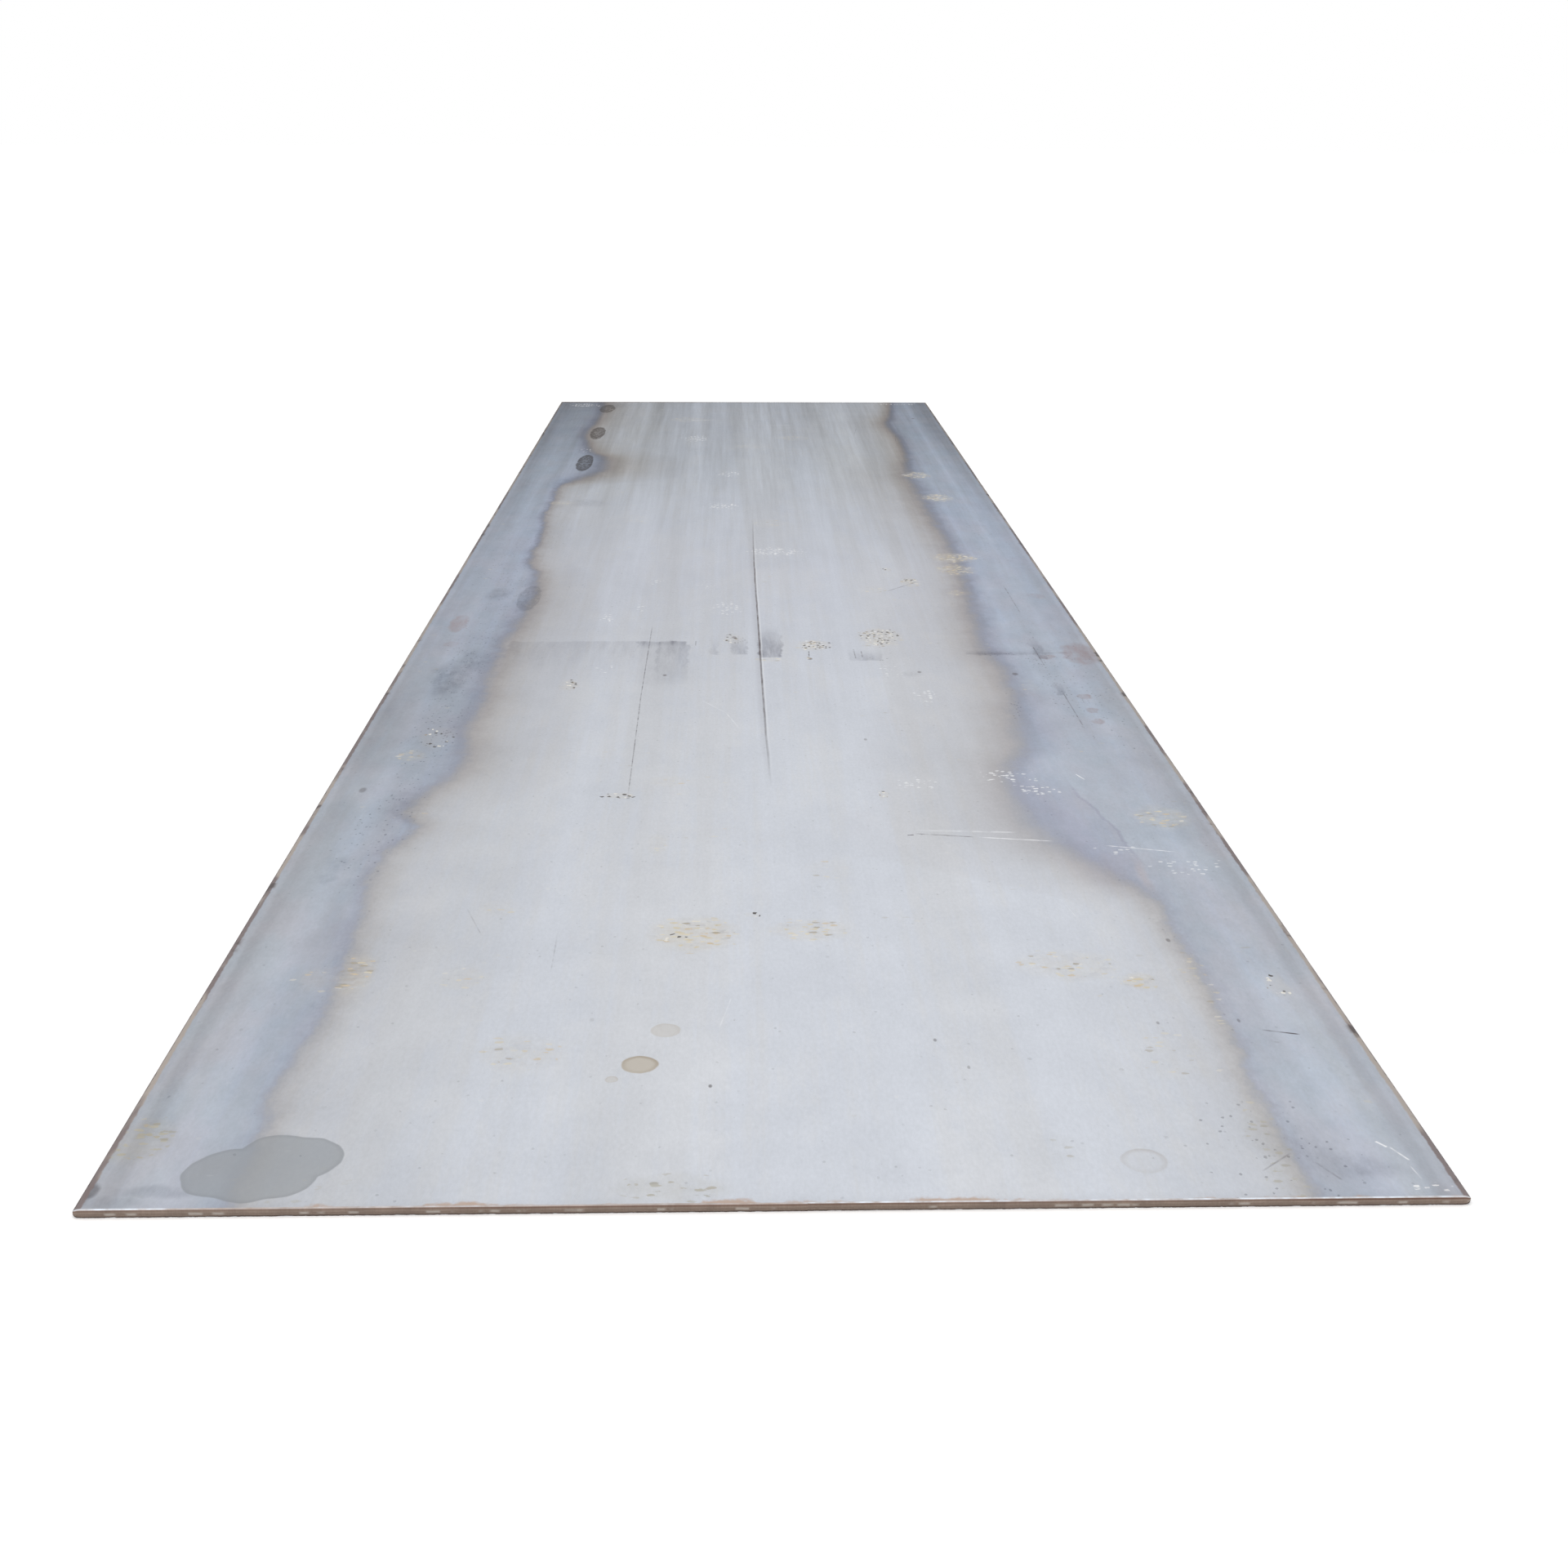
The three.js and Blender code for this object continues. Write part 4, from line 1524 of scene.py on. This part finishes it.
def back_rim(face):
    """A dark brown line along the back end: painted shade standing in for the back edge's burr and its
    shadow.
    """
    loose = HALF_LENGTH - face.y + face.place.sway(30 * MM, "back creep")
    share = face.x.ranged(-0.2, 0.4, 0.80, 0.55)
    face.cover(loose.step(*BACK_EDGE_SHADE_RIM) * share, BACK_EDGE_SHADE, dull=0.7)


# The layers of the top face, the lowest first.
TOP_LAYERS = (
    even_tone, heat_bands, violet_tongue, rolled_texture, smudges, smears, grained_ovals,
    wet_stain, dried_drops, specks, tan_prints, dark_prints, pale_flecks, front_rim, back_rim,
    mill_edges, groove, scratches,
)

# ---------------------------------------------------------------- the underside

# The underside's heat-tinted bands are plainer: their borders and the width of a step.
UNDER_BORDER = 0.575
UNDER_SPREAD = 0.022
UNDER_TINT_DEPTH = 0.4
UNDER_STREAKS = 0.14


def under_bands(face):
    """Plainer heat-tinted bands, with the streaks of the rolls."""
    ripple = face.place.sway(90 * MM, "under ripple")
    steps_in = (UNDER_BORDER - abs(face.x) + ripple) / UNDER_SPREAD
    face.wash(face.effect("heat_tint", Distance=steps_in, Depth=UNDER_TINT_DEPTH)["Colour"])
    streaks = {"Streaks": UNDER_STREAKS, "Clouds": UNDER_STREAKS}
    face.wash(face.effect("rolling_streaks", Place=face.place, **streaks)["Shade"])
    face.lift(face.place.noise("under grain") * GRAIN_HEIGHT)


def under_wear(face):
    """Rub marks from bearers, with rust dashes in them, and rust along the ends."""
    place = face.place
    rubbed = place.noise("bearer rubs").step(0.56, 0.66)
    face.tint(rubbed * 0.30, RUBBED_GREY)
    mask, hue = scattered(place, 60.0, 80.0, rubbed * 0.25, 0.9)
    face.cover(mask * 0.6, hue.blend(UNDER_DASH_PALE, UNDER_DASH_DARK), dull=0.8)
    creep = HALF_LENGTH - abs(face.y) + place.sway(90 * MM, "under creep")
    face.cover(creep.step(*UNDER_RUST_RIM) * 0.6, UNDER_RUST, dull=0.8)
    edge = face.effect("mill_edge", Place=place)
    face.cover(edge["Mask"] * 0.9, edge["Colour"], dull=0.7)


UNDER_LAYERS = (under_bands, under_wear)

# ---------------------------------------------------------------- the sheared ends

# How strong the painted highlight along the rollover is: (x, share).
ROLLOVER_HIGHLIGHT_STRENGTH = (
    (-0.75, 0.8), (-0.7, 1.0), (-0.665, 1.0), (-0.64, 0.35), (-0.5, 0.3), (-0.4, 0.45),
    (-0.2, 0.25), (0.02, 0.3), (0.05, 0.9), (0.3, 0.8), (0.5, 0.95), (0.66, 1.0), (0.72, 0.9),
    (0.75, 0.5),
)
# How dark the band under the rollover is: (x, share).
LAND_RUST = (
    (-0.75, 0.5), (-0.5, 0.35), (-0.3, 0.6), (0.0, 0.7), (0.3, 0.55), (0.55, 0.7), (0.6, 1.0),
    (0.73, 1.0), (0.75, 0.6),
)
# What turns a texture's value into the height of the fracture's grain.
FRACTURE_GRAIN = 0.15 * MM


def shear_zone(face):
    """Which part of the sheared end this is: 0 to 1 rollover, 2 land, 3 fracture, 4 burr."""
    return face.place.nodes.add("ShaderNodeAttribute", output="Fac", attribute_name="shear_zone")


def land_and_fracture(face):
    """A land with upright strokes, rusty near the rollover, and a grainy fracture."""
    place, zone = face.place, shear_zone(face)
    face.shade(place.sway(0.5, "shear strokes") + 1.0)
    face.shade(place.mottle(0.78, 1.18, "shear mottle"))
    rusty = zone.step(1.75, 1.15) * zone.step(0.55, 0.95) * face.x.curve(LAND_RUST)
    face.cover(rusty * 0.85, LAND_RUST_BROWN, dull=0.7)
    fracture = zone.step(1.95, 2.15)
    grains = place.noise("fracture grains")
    face.cover(fracture * 0.6, grains.blend(FRACTURE_DARK, FRACTURE_PALE), dull=0.5)
    face.lift(grains * fracture * FRACTURE_GRAIN)


def shear_glints(face):
    """Light ovals low on the fracture, painted shadow along the foot, a painted highlight along the
    rollover and painted glints on the burr's teeth.
    """
    place, zone = face.place, shear_zone(face)
    glints, _ = scattered(place.stretched((1.0, 0.0, 2.0)), 46.0, 1.0, 0.8, 0.2)
    face.cover(glints * zone.near(2.3, 0.55, 0.9) * 0.60, FRACTURE_GLINT)
    # Painted shadow along the foot of the end, partly the dark burr.
    face.cover(zone.step(2.75, 2.95) * 0.75, FOOT_SHADOW, dull=0.6)
    # Painted highlight along the rollover, on steel that is also really burnished and glossy there.
    painted_highlight = zone.step(0.85, 0.45) * face.x.curve(ROLLOVER_HIGHLIGHT_STRENGTH)
    uneven = place.noise("shine wear").ranged(0.35, 0.6, 0.45, 1.0)
    face.cover((painted_highlight * uneven).held(), ROLLOVER_HIGHLIGHT, dull=0.0)
    # Painted glints on the burr's teeth.
    teeth = zone.step(3.2, 3.6) * place.noise("burr teeth").step(0.52, 0.60)
    face.cover(teeth * 0.8, BURR_GLINT, dull=0.0)


END_LAYERS = (land_and_fracture, shear_glints)

# ---------------------------------------------------------------- studio

# The camera stands in front of the plate at a standing person's height above a stack of
# such plates, a little to the left of the middle.
FOCAL_LENGTH = 42.64
SENSOR_WIDTH = 36
CAMERA_PLACE = Vector((-0.046, -4.719, 1.101))
CAMERA_YAW = math.radians(-1.63)
CAMERA_PITCH = math.radians(19.66)
CAMERA_ROLL = math.radians(0.35)
# The lamps: name, centre, target, width, depth and radiance.
SOFTBOXES = (
    ("back_softbox", (0, 7.5, 6.0), (0, -2.5, 0), 9, 5, 0.5),
    ("top_softbox", (-1.5, -2.5, 6.0), (0, -0.5, 0), 7, 6, 0.5),
)
# How strongly the world lights matt surfaces.
WORLD_LIGHT = 0.8
# The floor's tone as light sees it, and as the camera does.
FLOOR_TONE = (0.8, 0.8, 0.8)
FLOOR_TONE_SEEN = (1.3, 1.3, 1.3)
FLOOR_RADIUS = 80
FLOOR_CORNERS = 96


def add_camera():
    """A camera that looks along +Y, turned by yaw, tipped down by pitch and rolled."""
    forward = Vector((
        -math.sin(CAMERA_YAW) * math.cos(CAMERA_PITCH),
        math.cos(CAMERA_YAW) * math.cos(CAMERA_PITCH),
        -math.sin(CAMERA_PITCH),
    ))
    level = Vector((math.cos(CAMERA_YAW), math.sin(CAMERA_YAW), 0))
    upright = level.cross(forward)
    right = math.cos(CAMERA_ROLL) * level + math.sin(CAMERA_ROLL) * upright
    up = math.cos(CAMERA_ROLL) * upright - math.sin(CAMERA_ROLL) * level
    turned = Matrix((right, up, -forward)).transposed().to_4x4()
    data = bpy.data.cameras.new("camera")
    data.sensor_width = SENSOR_WIDTH
    data.lens = FOCAL_LENGTH
    camera = placed("camera", data, Matrix.Translation(CAMERA_PLACE) @ turned)
    bpy.context.scene.camera = camera


def add_softbox(name, centre, target, width, depth, radiance):
    """A rectangular lamp that glows evenly: power = radiance x pi x area."""
    data = bpy.data.lights.new(name, "AREA")
    data.shape = "RECTANGLE"
    data.size = width
    data.size_y = depth
    data.energy = radiance * math.pi * width * depth
    turned = (Vector(target) - Vector(centre)).to_track_quat("-Z", "Y").to_matrix().to_4x4()
    lamp = placed(name, data, Matrix.Translation(centre) @ turned)
    lamp.visible_camera = False


def add_world():
    """White all round, as the camera, metal and glass see it. It lights other surfaces less."""
    world = bpy.data.worlds.new("studio")
    bpy.context.scene.world = world
    nodes = emptied(world)
    rays = nodes.outputs(nodes.put("ShaderNodeLightPath"))
    seen = strongest(rays[f"Is {kind} Ray"] for kind in ("Camera", "Glossy", "Transmission"))
    strength = seen.mixed(WORLD_LIGHT, 1.0)
    glow = nodes.add("ShaderNodeBackground", {"Color": (1, 1, 1), "Strength": strength})
    nodes.put("ShaderNodeOutputWorld", {"Surface": glow})


def add_floor():
    """A wide pale floor, which keeps the plate's shadow."""
    material = bpy.data.materials.new("pale_floor")
    nodes = emptied(material)
    seen = nodes.outputs(nodes.put("ShaderNodeLightPath"))["Is Camera Ray"]
    matt = nodes.add("ShaderNodeBsdfDiffuse", {"Color": seen.blend(FLOOR_TONE, FLOOR_TONE_SEEN)})
    nodes.put("ShaderNodeOutputMaterial", {"Surface": matt})
    mesh = bpy.data.meshes.new("floor")
    turn = np.linspace(0, 2 * math.pi, FLOOR_CORNERS, endpoint=False)
    rim = np.stack([np.cos(turn), np.sin(turn), np.zeros(FLOOR_CORNERS)], axis=1) * FLOOR_RADIUS
    mesh.from_pydata(rim.tolist(), [], [list(range(FLOOR_CORNERS))])
    mesh.materials.append(material)
    floor = placed("floor", mesh)


# ---------------------------------------------------------------- the scene

bpy.context.scene.view_settings.view_transform = "Standard"
add_camera()
add_world()
add_floor()
for softbox in SOFTBOXES:
    add_softbox(*softbox)
add_effects()

plate = build_plate([
    face_material("mill_scale_top", (1.0, 1.0, 1.0), TOP_LAYERS),
    face_material("mill_scale_underside", UNDERSIDE_STEEL, UNDER_LAYERS),
    face_material("sheared_end", SHEARED_STEEL, END_LAYERS),
])
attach(plate, "root")
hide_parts("steel_plate")
